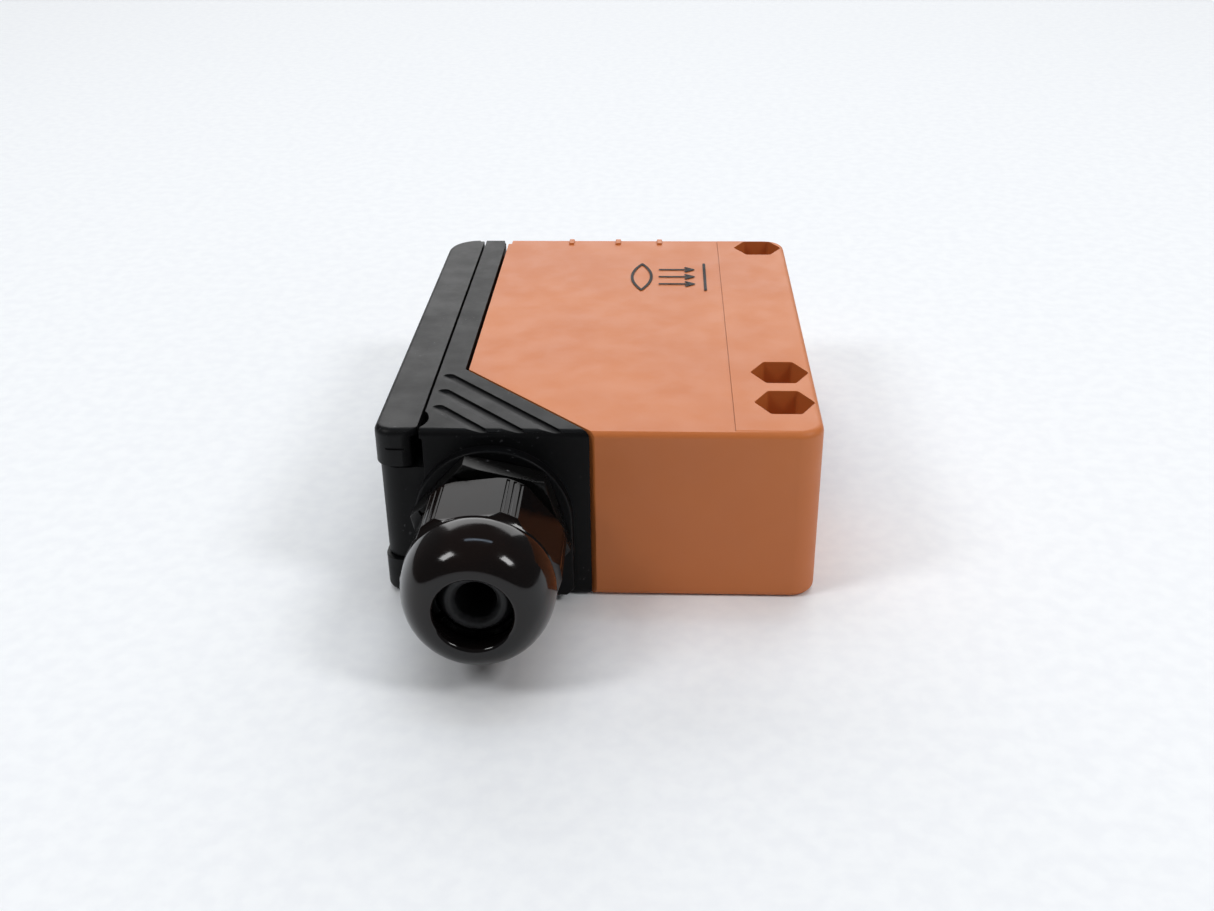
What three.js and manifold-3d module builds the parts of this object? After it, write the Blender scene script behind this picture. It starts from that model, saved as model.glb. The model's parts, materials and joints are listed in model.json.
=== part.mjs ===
// Photoelectric sensor with a hinged terminal chamber and a cable gland.
// Units are millimetres. While the pieces are made, X runs from the back of the terminal cover to the optical
// front, Y from the gland side to the far end and Z up from the large face the sensor lies on.
import * as THREE from "three";
import { mergeVertices } from "three/addons/utils/BufferGeometryUtils.js";
import Module from "manifold-3d";

const wasm = await Module();
wasm.setup();

// ------------------------------------------------ driving dimensions

const gap = 0.3; // between pieces that meet
const beyond = 1; // how far a cut runs past the face it opens
const join = 0.2; // how far joined solids run into one another
const roundSides = 24; // sides of a large round
const smallSides = 12; // sides of a small round
const pinSides = 8; // sides of a contact pin
const arcSteps = { corner: 5, edge: 3, arch: 12, dome: 5 }; // straight runs in each drawn curve

const body = { width: 70, length: 90, height: 30, edgeRound: 1.2, wall: 2.2 };
const corner = { front: 4, coverFar: 6, coverNear: 3 }; // upright edge radii

const cover = { thickness: 7, wall: 1.8, rim: 4.4, seam: 0.8 };
const hinge = {
  knuckleRadius: 3.6, backInset: 0.3, sideInset: 0.4, pinRadius: 1, pinClearance: 0.15, webStep: 0.5,
};
const lug = { height: 6.4, slot: 1.1, lip: 1.4, notchGap: 0.7, swingStand: 1 };
const coverSeal = {
  inset: 2.7, width: 1.3, height: 1.7, cornerRadius: 0.8, grooveDepth: 1.5, grooveCorner: 1,
  afterNotch: 1.7, landWidth: 0.85,
};
const coverScrew = {
  fromFar: 7, headRadius: 3.5, headHeight: 2.4, shankRadius: 1.5, bite: 5.6, headRecess: 0.6,
  slotWidth: 1, slotDepth: 1.2, threadClearance: 0.8, ringRadius: 3, ringHeight: 1.2,
};

const strip = { width: 3.9, partingGap: 0.5, rimWall: 2.4 }; // black strip in front of the cover
const gusset = { run: 22.1, rise: 23 }; // slope from the strip's edge to the near face
const groove = { width: 1.95, depth: 0.6, fromParting: 3.9, pitch: 5.7, count: 3, fromStrip: 2.4 };
const tray = { depth: 22.2, floor: 1.8, skin: 0.4, farGap: 0.6, farSolid: 11.5, nearWall: 3.2 };

const boss = { radius: 12.5, stand: 2, footHeight: 1.2, footChamfer: 1.2 };
const gland = {
  fromStrip: 10.7, threadRadius: 9.3, threadClearance: 0.3, threadLength: 8, hexAcross: 22, hexHeight: 3.9,
  hexTurn: 47, collarRadius: 8.8, collarLength: 9.8, boreRadius: 6, seatRadius: 7.2, seatDepth: 7,
};
const sealRing = { thickness: 0.8, width: 1, seatClearance: 0.3 };
const claw = { radius: 6.9, wall: 1, slots: 6, slotWidth: 1, slotLength: 10, length: 14 };
const insert = { holeRadius: 3, radius: 5.6, length: 15.2, noseRadius: 4.6, noseLength: 1.6 };
const thrust = { radius: 9.1, boreRadius: 7.3, height: 1.1 };
const nut = {
  across: 22, radius: 12, turn: 67, rear: 8, gripEnd: 19, collarStep: 0.3, collarRadius: 11.35,
  shoulder: 23, shoulderRadius: 10.7, front: 28, rimRadius: 5.8, lip: 1.3, threadRadius: 9.3, throatRadius: 6.6,
};

const fixing = {
  pocketAcross: 8.4, pocketDepth: 8, boreRadius: 2.9, frontWall: 0.7, farWall: 0.8, landWall: 1.3,
};
const fixingFromNear = [11, 22.5];
const frontBand = { width: 13.8, stand: 0.15, solidDepth: 12 };

const pane = { landGap: 0.5, inset: 2.8, thickness: 1.8, recess: 0.1, ledge: 2, corner: 2 };
const paneSeal = { thickness: 0.5, width: 1.1 };
const frontWall = 5;

const ledge = { thickness: 2, width: 3.8, nearWidth: 3 };
const chamberSeal = { thickness: 0.7, width: 2.6, cornerRadius: 1, sideGap: 0.8, edgeGap: 1.2, nearInset: 5 };
const chamberScrew = {
  headRadius: 2.5, headHeight: 2, shankRadius: 1.5, bite: 8, holeClearance: 0.4, slotWidth: 0.8, slotDepth: 1,
};
const chamberScrewInset = { end: 3.5, side: 3.8 };
const chamberBoss = { half: 3.2 };

const terminal = {
  count: 5, pitch: 7, margin: 4, height: 14, depth: 11.9, sideInset: 0.8, beforeDial: 0.8,
  wellRadius: 2.6, wellDepth: 3.4, wellFloor: 1, cageWidth: 5.2, cageDepth: 5.6,
};
const terminalScrew = {
  headRadius: 2.2, headHeight: 1.8, shankRadius: 1.3, shankLength: 4.8, sunk: 0.8,
  slotWidth: 0.7, slotDepth: 0.8,
};
const terminalClamp = { wall: 0.8, travel: 1.25, holeClearance: 0.1 };

const dial = {
  size: 9, height: 5, beforeSwitch: 1.6, rotorRadius: 3.2, rotorHeight: 3,
  slotWidth: 0.9, slotDepth: 1, slotEnd: 1,
};
const modeSwitch = {
  width: 6, length: 6.4, height: 4, fromFar: 1.1, knob: 2.4, knobHeight: 3, wellDepth: 1.5, travel: 2,
};

const board = { thickness: 1.6, side: 0.5, pinRadius: 0.5, pinBar: 2 };
const optics = { depth: 19.4, lensRadius: 10.1, lensSpacing: 25.6, lensEdge: 1.6, lensRise: 3.4, seat: 3.7 };
const barrel = { throatRadius: 5, throatDepth: 4, shoulder: 1 };
const diode = { radius: 2.5, flangeRadius: 2.9, flangeHeight: 1, length: 6.4 };
const relay = { length: 20, width: 8.5, height: 7.4, fromNear: 42 };
const capacitor = { radius: 4.5, height: 7.4, fromNear: 30 };
const transformer = { length: 17, width: 14, height: 11, fromNear: 9.5, coreWall: 3.5, bobbinSwell: 1.2 };
const indicator = {
  width: 9, length: 15, cornerRadius: 1, flange: 1, flangeHeight: 1, fromBoard: 0.5,
  ledRadius: 1.5, ledSpacing: 8, ledInset: 1, footInset: 0.8, footLength: 2.2,
};

const colour = { orange: 0xd98a58, black: 0x232326, gloss: 0x0c0b0b, rubber: 0x1a1a1c, steel: 0xc3c6c9 };

// ------------------------------------------------ shapes

// Turns an outline's own plane so that it is extruded along the named axis.
const alongX = new THREE.Vector3(1, 0, 0);
const alongY = new THREE.Vector3(0, 1, 0);
const alongZ = new THREE.Vector3(0, 0, 1);
const planeOf = {
  x: new THREE.Matrix4().makeBasis(alongY, alongZ, alongX),
  y: new THREE.Matrix4().makeBasis(alongZ, alongX, alongY),
  z: new THREE.Matrix4(),
};

// A closed geometry as a solid that can be joined and cut.
function solidOf(geometry) {
  const loose = geometry.index ? geometry.toNonIndexed() : geometry;
  const bare = new THREE.BufferGeometry().setAttribute("position", loose.getAttribute("position"));
  const merged = mergeVertices(bare, 1e-4);
  return new wasm.Manifold(
    new wasm.Mesh({
      numProp: 3,
      vertProperties: merged.attributes.position.array,
      triVerts: new Uint32Array(merged.index.array),
    }),
  );
}

// A box between two limits on each axis.
function block([x0, x1], [y0, y1], [z0, z1]) {
  const box = new THREE.BoxGeometry(x1 - x0, y1 - y0, z1 - z0);
  box.translate((x0 + x1) / 2, (y0 + y1) / 2, (z0 + z1) / 2);
  return solidOf(box);
}

// An outline carried along an axis from one place to another. The outline's coordinates are (x, y) along z,
// (y, z) along x and (z, x) along y.
function extruded(axis, shape, from, to, curveSegments = 4) {
  const geometry = new THREE.ExtrudeGeometry(shape, { depth: to - from, bevelEnabled: false, curveSegments });
  geometry.translate(0, 0, from);
  geometry.applyMatrix4(planeOf[axis]);
  return solidOf(geometry);
}

function polygon(points) {
  return new THREE.Shape(points.map(([u, v]) => new THREE.Vector2(u, v)));
}

function regular(u, v, radius, sides, turn = 0) {
  const points = [];
  for (let i = 0; i < sides; i += 1) {
    const angle = turn + (2 * Math.PI * i) / sides;
    points.push([u + radius * Math.cos(angle), v + radius * Math.sin(angle)]);
  }
  return polygon(points);
}

// A rectangle with round corners; each corner has its own radius, from low-low anticlockwise.
function rounded([u0, u1], [v0, v1], radii) {
  const [a, b, c, d] = Array.isArray(radii) ? radii : [radii, radii, radii, radii];
  const shape = new THREE.Shape();
  shape.moveTo(u0 + a, v0);
  shape.lineTo(u1 - b, v0);
  shape.absarc(u1 - b, v0 + b, b, -Math.PI / 2, 0, false);
  shape.lineTo(u1, v1 - c);
  shape.absarc(u1 - c, v1 - c, c, 0, Math.PI / 2, false);
  shape.lineTo(u0 + d, v1);
  shape.absarc(u0 + d, v1 - d, d, Math.PI / 2, Math.PI, false);
  shape.lineTo(u0, v0 + a);
  shape.absarc(u0 + a, v0 + a, a, Math.PI, 1.5 * Math.PI, false);
  return shape;
}

// A round bar along an axis; the circle's corners lie on the radius.
function rod(axis, [u, v], radius, from, to, sides = smallSides) {
  return extruded(axis, regular(u, v, radius, sides, Math.PI / sides), from, to);
}

// A round hole to cut; the circle's flats lie on the radius, so the hole is never too small.
function bore(axis, place, radius, from, to, sides = smallSides) {
  return rod(axis, place, radius / Math.cos(Math.PI / sides), from, to, sides);
}

// A hexagonal bar along Y about the gland's axis, or along Z about a place, sized across its flats.
function hexagon(axis, [u, v], across, from, to, turn = 0) {
  return extruded(axis, regular(u, v, across / Math.sqrt(3), 6, turn), from, to);
}

// A profile of (radius, place along the axis) turned about an axis.
function turned(axis, [u, v], profile, sides = roundSides) {
  const points = profile.map(([radius, along]) => new THREE.Vector2(radius, along));
  const geometry = new THREE.LatheGeometry(points, sides);
  geometry.rotateX(Math.PI / 2);
  geometry.applyMatrix4(planeOf[axis]);
  const offset = new THREE.Vector3(u, v, 0).applyMatrix4(planeOf[axis]);
  geometry.translate(offset.x, offset.y, offset.z);
  return solidOf(geometry);
}

// A ring of rectangular section about an axis.
function ring(axis, place, inner, outer, from, to, sides = roundSides) {
  return rod(axis, place, outer, from, to, sides).subtract(
    bore(axis, place, inner, from - beyond, to + beyond, sides),
  );
}

// A flat frame along X: a rounded rectangle with a smaller one taken out of it.
function frameX([y0, y1], [z0, z1], width, cornerRadius, from, to) {
  const outer = extruded("x", rounded([y0, y1], [z0, z1], cornerRadius), from, to);
  const inner = rounded([y0 + width, y1 - width], [z0 + width, z1 - width], cornerRadius / 2);
  return outer.subtract(extruded("x", inner, from - beyond, to + beyond));
}

const object = new THREE.Group();

function add(name, solid, color, roughness = 0.6, metalness = 0) {
  const made = solid.getMesh();
  const geometry = new THREE.BufferGeometry();
  geometry.setAttribute("position", new THREE.BufferAttribute(new Float32Array(made.vertProperties), 3));
  geometry.setIndex(new THREE.BufferAttribute(new Uint32Array(made.triVerts), 1));
  geometry.computeVertexNormals();
  const mesh = new THREE.Mesh(geometry, new THREE.MeshStandardMaterial({ color, roughness, metalness }));
  mesh.name = name;
  object.add(mesh);
}

// ------------------------------------------------ places worked out from the dimensions

const degrees = Math.PI / 180;
const middle = body.height / 2;
const full = {
  x: [-beyond, body.width + beyond],
  y: [-beyond, body.length + beyond],
  z: [-beyond, body.height + beyond],
};
const stripBack = cover.thickness + cover.seam;
const parting = stripBack + strip.width;
const trayBack = stripBack + tray.depth;
const cavity = { near: body.wall, far: body.length - body.wall, low: body.wall, high: body.height - body.wall };

const pinPlace = [hinge.knuckleRadius + hinge.backInset, hinge.knuckleRadius + hinge.sideInset];
const notchDepth = pinPlace[1] + hinge.knuckleRadius + lug.notchGap;
const swingRadius = hinge.knuckleRadius + lug.swingStand; // the reach of the lugs' near corners about the pin
const sealNear = notchDepth + coverSeal.afterNotch;

const chamber = {
  near: tray.nearWall,
  mouthNear: sealNear + coverSeal.width / 2 + coverSeal.landWidth,
  far: body.length - tray.farSolid,
  low: cover.rim,
  high: body.height - cover.rim,
  floor: trayBack - tray.floor,
};

// The sloping parting line between the chamber's gusset and the main housing.
const slope = Math.hypot(gusset.run, gusset.rise);
const slopeNormal = { x: gusset.rise / slope, y: gusset.run / slope };
const slopeReach = slopeNormal.x * (parting + gusset.run);
const slopeXAt = (y, offset) => (slopeReach + offset - slopeNormal.y * y) / slopeNormal.x;
const slopeYAt = (x, offset) => (slopeReach + offset - slopeNormal.x * x) / slopeNormal.y;

const knuckle = { low: lug.height + gap, high: body.height - lug.height - gap };
const screwPlace = [body.length - coverScrew.fromFar, middle];
const screwTip = cover.thickness + coverScrew.bite;
const glandPlace = [middle, stripBack + gland.fromStrip];

const boltX = body.width - fixing.frontWall - fixing.pocketAcross / Math.sqrt(3);
const boltYs = [...fixingFromNear, body.length - fixing.farWall - fixing.pocketAcross / 2];

// How far along the front the material round the pockets reaches, towards the window from either end.
const landHalf = fixing.pocketAcross / 2 + fixing.landWall;
const landEnds = [boltYs[1] + landHalf, boltYs[2] - landHalf];
const rebate = {
  y: [landEnds[0] + pane.landGap, landEnds[1] - pane.landGap],
  z: [pane.inset, body.height - pane.inset],
  floor: body.width - pane.recess - pane.thickness - gap - paneSeal.thickness - gap,
};
const opticsFront = body.width - frontWall - 2 * gap;
const opticsBack = opticsFront - optics.depth;
const opticsMiddle = (rebate.y[0] + rebate.y[1]) / 2;
const lensPlaces = [-1, 1].map((side) => [opticsMiddle + (side * optics.lensSpacing) / 2, middle]);
const boardFront = opticsBack - 4 * gap;
const boardBack = boardFront - board.thickness;

const ledgeBack = trayBack + chamberSeal.thickness + 2 * gap;
const ledgeOpening = {
  y: [chamberSeal.nearInset + ledge.nearWidth, cavity.far - chamberSeal.sideGap - ledge.width],
  z: [cavity.low + ledge.width, cavity.high - ledge.width],
};
const chamberScrewPlaces = [
  chamber.mouthNear + chamberScrewInset.end,
  chamber.far - chamberScrewInset.end,
].flatMap((y) => [
  [y, chamber.low + chamberScrewInset.side],
  [y, chamber.high - chamberScrewInset.side],
]);

// ------------------------------------------------ the closed outer form

// The whole block with its upright corners and long edges rounded, before it is shared between the housings.
function outerForm() {
  const outline = rounded(
    [0, body.width],
    [0, body.length],
    [corner.coverNear, corner.front, corner.front, corner.coverFar],
  );
  const geometry = new THREE.ExtrudeGeometry(outline, {
    depth: body.height - 2 * body.edgeRound,
    bevelEnabled: true,
    bevelThickness: body.edgeRound,
    bevelSize: body.edgeRound,
    bevelOffset: -body.edgeRound,
    bevelSegments: arcSteps.edge,
    curveSegments: arcSteps.corner,
  });
  geometry.translate(0, 0, body.edgeRound);
  return solidOf(geometry);
}

const form = outerForm();

// ------------------------------------------------ main housing

function fixingCut(y) {
  const floor = body.height - fixing.pocketDepth;
  const pocket = hexagon("z", [boltX, y], fixing.pocketAcross, floor, full.z[1]);
  return pocket.add(bore("z", [boltX, y], fixing.boreRadius, full.z[0], full.z[1], roundSides));
}

function mainHousing() {
  const inside = block(
    [full.x[0], body.width - frontWall],
    [cavity.near, cavity.far],
    [cavity.low, cavity.high],
  );
  let shell = form.subtract(inside);

  const solidFrom = body.width - frontBand.solidDepth;
  const bands = [
    [cavity.near - beyond, landEnds[0]],
    [landEnds[1], cavity.far + beyond],
  ];
  for (const band of bands) {
    const landX = [solidFrom, body.width - frontWall + beyond];
    shell = shell.add(block(landX, band, [cavity.low - beyond, cavity.high + beyond]));
  }

  const rib = block(
    [ledgeBack, ledgeBack + ledge.thickness],
    [cavity.near - beyond, cavity.far + beyond],
    [cavity.low - beyond, cavity.high + beyond],
  ).subtract(block([full.x[0], full.x[1]], ledgeOpening.y, ledgeOpening.z));
  shell = shell.add(rib);

  for (const [y, z] of chamberScrewPlaces) {
    const postZ = z < middle
      ? [cavity.low - beyond, z + chamberBoss.half]
      : [z - chamberBoss.half, cavity.high + beyond];
    const post = block([ledgeBack, boardBack - gap], [y - chamberBoss.half, y + chamberBoss.half], postZ);
    const hole = bore(
      "x", [y, z], chamberScrew.shankRadius + chamberScrew.holeClearance,
      ledgeBack - beyond, trayBack + chamberScrew.bite + beyond,
    );
    shell = shell.add(post).subtract(hole);
  }

  shell = shell.subtract(extruded("x", rounded(rebate.y, rebate.z, pane.corner), rebate.floor, full.x[1]));
  const lightY = [rebate.y[0] + pane.ledge, rebate.y[1] - pane.ledge];
  const lightZ = [rebate.z[0] + pane.ledge, rebate.z[1] - pane.ledge];
  shell = shell.subtract(extruded("x", rounded(lightY, lightZ, pane.corner), opticsFront - beyond, full.x[1]));

  const stepX = [parting, body.width - frontBand.width];
  shell = shell.subtract(block(stepX, full.y, [body.height - frontBand.stand, full.z[1]]));
  shell = shell.subtract(block(stepX, full.y, [full.z[0], frontBand.stand]));

  for (const y of boltYs) {
    shell = shell.subtract(fixingCut(y));
  }

  const slit = indicatorPlace();
  const opening = rounded(
    [slit.z[0] - gap, slit.z[1] + gap],
    [slit.x[0] - gap, slit.x[1] + gap],
    indicator.cornerRadius,
  );
  shell = shell.subtract(extruded("y", opening, cavity.far - beyond, full.y[1]));

  const clear = strip.partingGap;
  const share = polygon([
    [slopeXAt(full.y[0], clear), full.y[0]],
    [full.x[1], full.y[0]],
    [full.x[1], full.y[1]],
    [parting + clear, full.y[1]],
    [parting + clear, slopeYAt(parting + clear, clear)],
  ]);
  return shell.intersect(extruded("z", share, full.z[0], full.z[1]));
}

// ------------------------------------------------ connection housing

// One finger groove beside the sloping parting line: a slot with a round blind end.
function grooveCut(index) {
  const half = groove.width / 2;
  const offset = -(groove.fromParting + index * groove.pitch) * slopeNormal.x - half;
  const startX = stripBack + groove.fromStrip;
  const start = [startX, slopeYAt(startX, offset)];
  const end = [slopeXAt(full.y[0], offset), full.y[0]];
  const slot = polygon([
    [start[0] + slopeNormal.x * half, start[1] + slopeNormal.y * half],
    [start[0] - slopeNormal.x * half, start[1] - slopeNormal.y * half],
    [end[0] - slopeNormal.x * half, end[1] - slopeNormal.y * half],
    [end[0] + slopeNormal.x * half, end[1] + slopeNormal.y * half],
  ]);
  const floor = body.height - groove.depth;
  return extruded("z", slot, floor, full.z[1]).add(rod("z", start, half, floor, full.z[1]));
}

// The arched boss under the gland, square at its foot.
function glandBoss() {
  const [z, x] = glandPlace;
  const arch = new THREE.Shape();
  const foot = boss.footHeight;
  const side = boss.footChamfer;
  arch.moveTo(foot, x - boss.radius + side);
  arch.lineTo(foot + side, x - boss.radius);
  arch.lineTo(z, x - boss.radius);
  arch.absarc(z, x, boss.radius, -Math.PI / 2, Math.PI / 2, false);
  arch.lineTo(foot + side, x + boss.radius);
  arch.lineTo(foot, x + boss.radius - side);
  return extruded("y", arch, -boss.stand, beyond, arcSteps.arch);
}

function connectionHousing() {
  const share = polygon([
    [stripBack, full.y[0]],
    [slopeXAt(full.y[0], 0), full.y[0]],
    [parting, gusset.rise],
    [parting, full.y[1]],
    [stripBack, full.y[1]],
  ]);
  let shell = form.intersect(extruded("z", share, full.z[0], full.z[1]));

  const trayBlock = block(
    [stripBack + beyond, trayBack],
    [cavity.near, cavity.far - tray.farGap],
    [cavity.low + tray.skin, cavity.high - tray.skin],
  );
  shell = shell.add(trayBlock).add(glandBoss());

  const hollow = block(
    [full.x[0], chamber.floor],
    [chamber.mouthNear, chamber.far],
    [chamber.low, chamber.high],
  );
  const nearHollow = block(
    [stripBack + strip.rimWall, chamber.floor],
    [chamber.near, chamber.mouthNear + beyond],
    [chamber.low, chamber.high],
  );
  shell = shell.subtract(hollow).subtract(nearHollow);

  const threadBore = gland.threadRadius + gland.threadClearance;
  const front = -boss.stand - beyond;
  shell = shell.subtract(bore("y", glandPlace, threadBore, front, gland.threadLength, roundSides));
  const ringSeat = sealRing.thickness + gap;
  const seatRadius = gland.threadRadius + gap + sealRing.width + sealRing.seatClearance;
  shell = shell.subtract(bore("y", glandPlace, seatRadius, front, -boss.stand + ringSeat, roundSides));

  // The lugs swing through these round reliefs above and below the knuckle.
  const reliefs = [[full.z[0], knuckle.low], [knuckle.high, full.z[1]]];
  for (const [from, to] of reliefs) {
    shell = shell.subtract(bore("z", pinPlace, swingRadius + gap, from, to, roundSides));
  }
  const barrelPart = rod("z", pinPlace, hinge.knuckleRadius, knuckle.low, knuckle.high, roundSides);
  const web = block(
    [pinPlace[0], stripBack + beyond],
    [pinPlace[1] - hinge.knuckleRadius, pinPlace[1] + hinge.knuckleRadius - hinge.webStep],
    [knuckle.low, knuckle.high],
  );
  const pinBore = bore("z", pinPlace, hinge.pinRadius + hinge.pinClearance, full.z[0], full.z[1]);
  shell = shell.add(barrelPart).add(web).subtract(pinBore);

  const tap = coverScrew.shankRadius + coverScrew.threadClearance;
  shell = shell.subtract(bore("x", screwPlace, tap, stripBack - beyond, screwTip + beyond));
  for (const place of chamberScrewPlaces) {
    const hole = chamberScrew.shankRadius + chamberScrew.holeClearance;
    shell = shell.subtract(bore("x", place, hole, chamber.floor - beyond, trayBack + beyond));
  }
  const pins = headerPlace();
  shell = shell.subtract(block([chamber.floor - beyond, trayBack + beyond], pins.slotY, pins.slotZ));
  for (let i = 0; i < groove.count; i += 1) {
    shell = shell.subtract(grooveCut(i));
  }
  return shell;
}

// ------------------------------------------------ terminal cover with its hinge, seal and screw

function sealPath(width) {
  return {
    y: [sealNear - width / 2, body.length - coverSeal.inset + width / 2],
    z: [coverSeal.inset - width / 2, body.height - coverSeal.inset + width / 2],
  };
}

function terminalCover() {
  let shell = form.intersect(block([full.x[0], cover.thickness], full.y, full.z));
  const hollowFar = body.length - coverScrew.fromFar - coverScrew.headRadius - cover.wall;
  shell = shell.subtract(
    block([cover.wall, full.x[1]], [chamber.mouthNear, hollowFar], [chamber.low, chamber.high]),
  );

  const grooveWidth = coverSeal.width + 2 * gap;
  const outer = sealPath(grooveWidth);
  shell = shell.subtract(
    frameX(
      outer.y, outer.z, grooveWidth, coverSeal.grooveCorner,
      cover.thickness - coverSeal.grooveDepth, cover.thickness + beyond,
    ),
  );

  shell = shell.subtract(
    block(full.x, [full.y[0], notchDepth], [lug.height, body.height - lug.height]),
  );
  const lugRight = cover.thickness - lug.slot;
  shell = shell.subtract(
    block([lugRight, full.x[1]], [full.y[0], notchDepth], [lug.lip, body.height - lug.lip]),
  );
  const nearCorner = block([pinPlace[0], full.x[1]], [full.y[0], pinPlace[1]], full.z).subtract(
    rod("z", pinPlace, swingRadius, full.z[0] - beyond, full.z[1] + beyond, roundSides),
  );
  const pinBore = bore(
    "z", pinPlace, hinge.pinRadius + hinge.pinClearance, full.z[0], body.height - body.edgeRound - gap,
  );
  shell = shell.subtract(nearCorner).subtract(pinBore);

  const seat = coverScrew.headRecess + coverScrew.headHeight + gap;
  shell = shell.subtract(bore("x", screwPlace, coverScrew.headRadius + gap, full.x[0], seat, roundSides));
  shell = shell.subtract(bore("x", screwPlace, coverScrew.shankRadius + gap, full.x[0], full.x[1]));
  const ringFloor = cover.thickness - coverScrew.ringHeight - 2 * gap;
  shell = shell.subtract(bore("x", screwPlace, coverScrew.ringRadius + gap, ringFloor, full.x[1]));
  return shell;
}

function hingePin() {
  return rod("z", pinPlace, hinge.pinRadius, body.edgeRound, body.height - body.edgeRound - 2 * gap);
}

function coverGasket() {
  const outer = sealPath(coverSeal.width);
  const from = cover.thickness - coverSeal.grooveDepth + gap;
  return frameX(outer.y, outer.z, coverSeal.width, coverSeal.cornerRadius, from, from + coverSeal.height);
}

// A screw along X with a slotted head at its low end.
function slottedScrew(place, head, headHeight, shank, from, to, slotWidth, slotDepth) {
  const [y, z] = place;
  const headPart = rod("x", place, head, from, from + headHeight, roundSides);
  const shankPart = rod("x", place, shank, from + headHeight - join, to);
  const slot = block(
    [from - beyond, from + slotDepth],
    [y - slotWidth / 2, y + slotWidth / 2],
    [z - head - beyond, z + head + beyond],
  );
  return headPart.add(shankPart).subtract(slot);
}

function coverScrewSolid() {
  return slottedScrew(
    screwPlace, coverScrew.headRadius, coverScrew.headHeight, coverScrew.shankRadius,
    coverScrew.headRecess, screwTip, coverScrew.slotWidth, coverScrew.slotDepth,
  );
}

function coverScrewRing() {
  const from = cover.thickness - coverScrew.ringHeight - gap;
  const inner = coverScrew.shankRadius + gap;
  return ring("x", screwPlace, inner, coverScrew.ringRadius, from, from + coverScrew.ringHeight, smallSides);
}

// ------------------------------------------------ cable gland

const hexBack = -boss.stand - gap;
const hexFront = hexBack - gland.hexHeight;
const collarFront = hexFront - gland.collarLength;
const seatFloor = collarFront + gland.seatDepth;
const thrustBack = collarFront - gap;
const thrustFront = thrustBack - thrust.height;

function glandBody() {
  const hex = hexagon("y", glandPlace, gland.hexAcross, hexFront, hexBack, (90 - gland.hexTurn) * degrees);
  const threadEnd = hexBack + gland.threadLength;
  const thread = rod("y", glandPlace, gland.threadRadius, hexBack - gap, threadEnd, roundSides);
  const collar = rod("y", glandPlace, gland.collarRadius, collarFront, hexFront + gap, roundSides);
  const through = bore("y", glandPlace, gland.boreRadius, collarFront - beyond, full.y[1], roundSides);
  const seat = bore("y", glandPlace, gland.seatRadius, collarFront - beyond, seatFloor, roundSides);
  return hex.add(thread).add(collar).subtract(through).subtract(seat);
}

function glandRing() {
  const inner = gland.threadRadius + gap;
  const from = -boss.stand;
  return ring("y", glandPlace, inner, inner + sealRing.width, from, from + sealRing.thickness);
}

function clampingClaw() {
  const back = seatFloor - gap;
  const front = back - claw.length;
  const [z, x] = glandPlace;
  let piece = ring("y", glandPlace, claw.radius - claw.wall, claw.radius, front, back);
  for (let i = 0; i < claw.slots / 2; i += 1) {
    const slot = new THREE.BoxGeometry(4 * claw.radius, claw.slotLength + beyond, claw.slotWidth);
    slot.rotateY((Math.PI * i) / (claw.slots / 2));
    slot.translate(x, front + (claw.slotLength - beyond) / 2, z);
    piece = piece.subtract(solidOf(slot));
  }
  return piece;
}

function sealInsert() {
  const back = seatFloor - gap;
  const front = back - insert.length;
  const profile = [
    [insert.holeRadius, front],
    [insert.noseRadius, front],
    [insert.radius, front + insert.noseLength],
    [insert.radius, back],
    [insert.holeRadius, back],
    [insert.holeRadius, front],
  ];
  return turned("y", glandPlace, profile);
}

function thrustRing() {
  return ring("y", glandPlace, thrust.boreRadius, thrust.radius, thrustFront, thrustBack);
}

// The dome from the grip's end to the rim: a straight collar, then a quarter of an ellipse.
function nutProfile() {
  const depth = nut.front - nut.shoulder - nut.lip / 2;
  const reach = nut.shoulderRadius - nut.rimRadius - nut.lip;
  const dome = [];
  for (let i = 0; i <= arcSteps.dome; i += 1) {
    const angle = (Math.PI / 2) * (i / arcSteps.dome);
    dome.push([nut.rimRadius + nut.lip + reach * Math.cos(angle), -nut.shoulder - depth * Math.sin(angle)]);
  }
  return [
    [nut.threadRadius, -nut.rear],
    [nut.radius, -nut.rear],
    [nut.radius, -nut.gripEnd],
    [nut.collarRadius, -nut.gripEnd - nut.collarStep],
    ...dome,
    [nut.rimRadius + nut.lip / 2, -nut.front],
    [nut.rimRadius, -nut.front + nut.lip / 2],
    [nut.throatRadius, -nut.shoulder - nut.lip],
    [nut.threadRadius, thrustFront - gap],
    [nut.threadRadius, -nut.rear],
  ];
}

function capNut() {
  const whole = turned("y", glandPlace, nutProfile().reverse());
  const turn = (90 - nut.turn) * degrees;
  const grip = hexagon("y", glandPlace, nut.across, -nut.gripEnd, -nut.rear + beyond, turn);
  const front = rod("y", glandPlace, nut.radius + beyond, -nut.front - beyond, -nut.gripEnd, roundSides);
  return whole.intersect(grip.add(front));
}

// ------------------------------------------------ places of what stands in the chamber

const chamberSeat = chamber.floor - gap;
const switchPlace = [chamber.far - modeSwitch.fromFar - modeSwitch.width / 2, middle];
const switchFace = chamberSeat - modeSwitch.height;
const switchWell = switchFace + modeSwitch.wellDepth;
const dialPlace = [switchPlace[0] - (modeSwitch.width + dial.size) / 2 - dial.beforeSwitch, middle];
const dialFace = chamberSeat - dial.height;

// ------------------------------------------------ terminals

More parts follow.
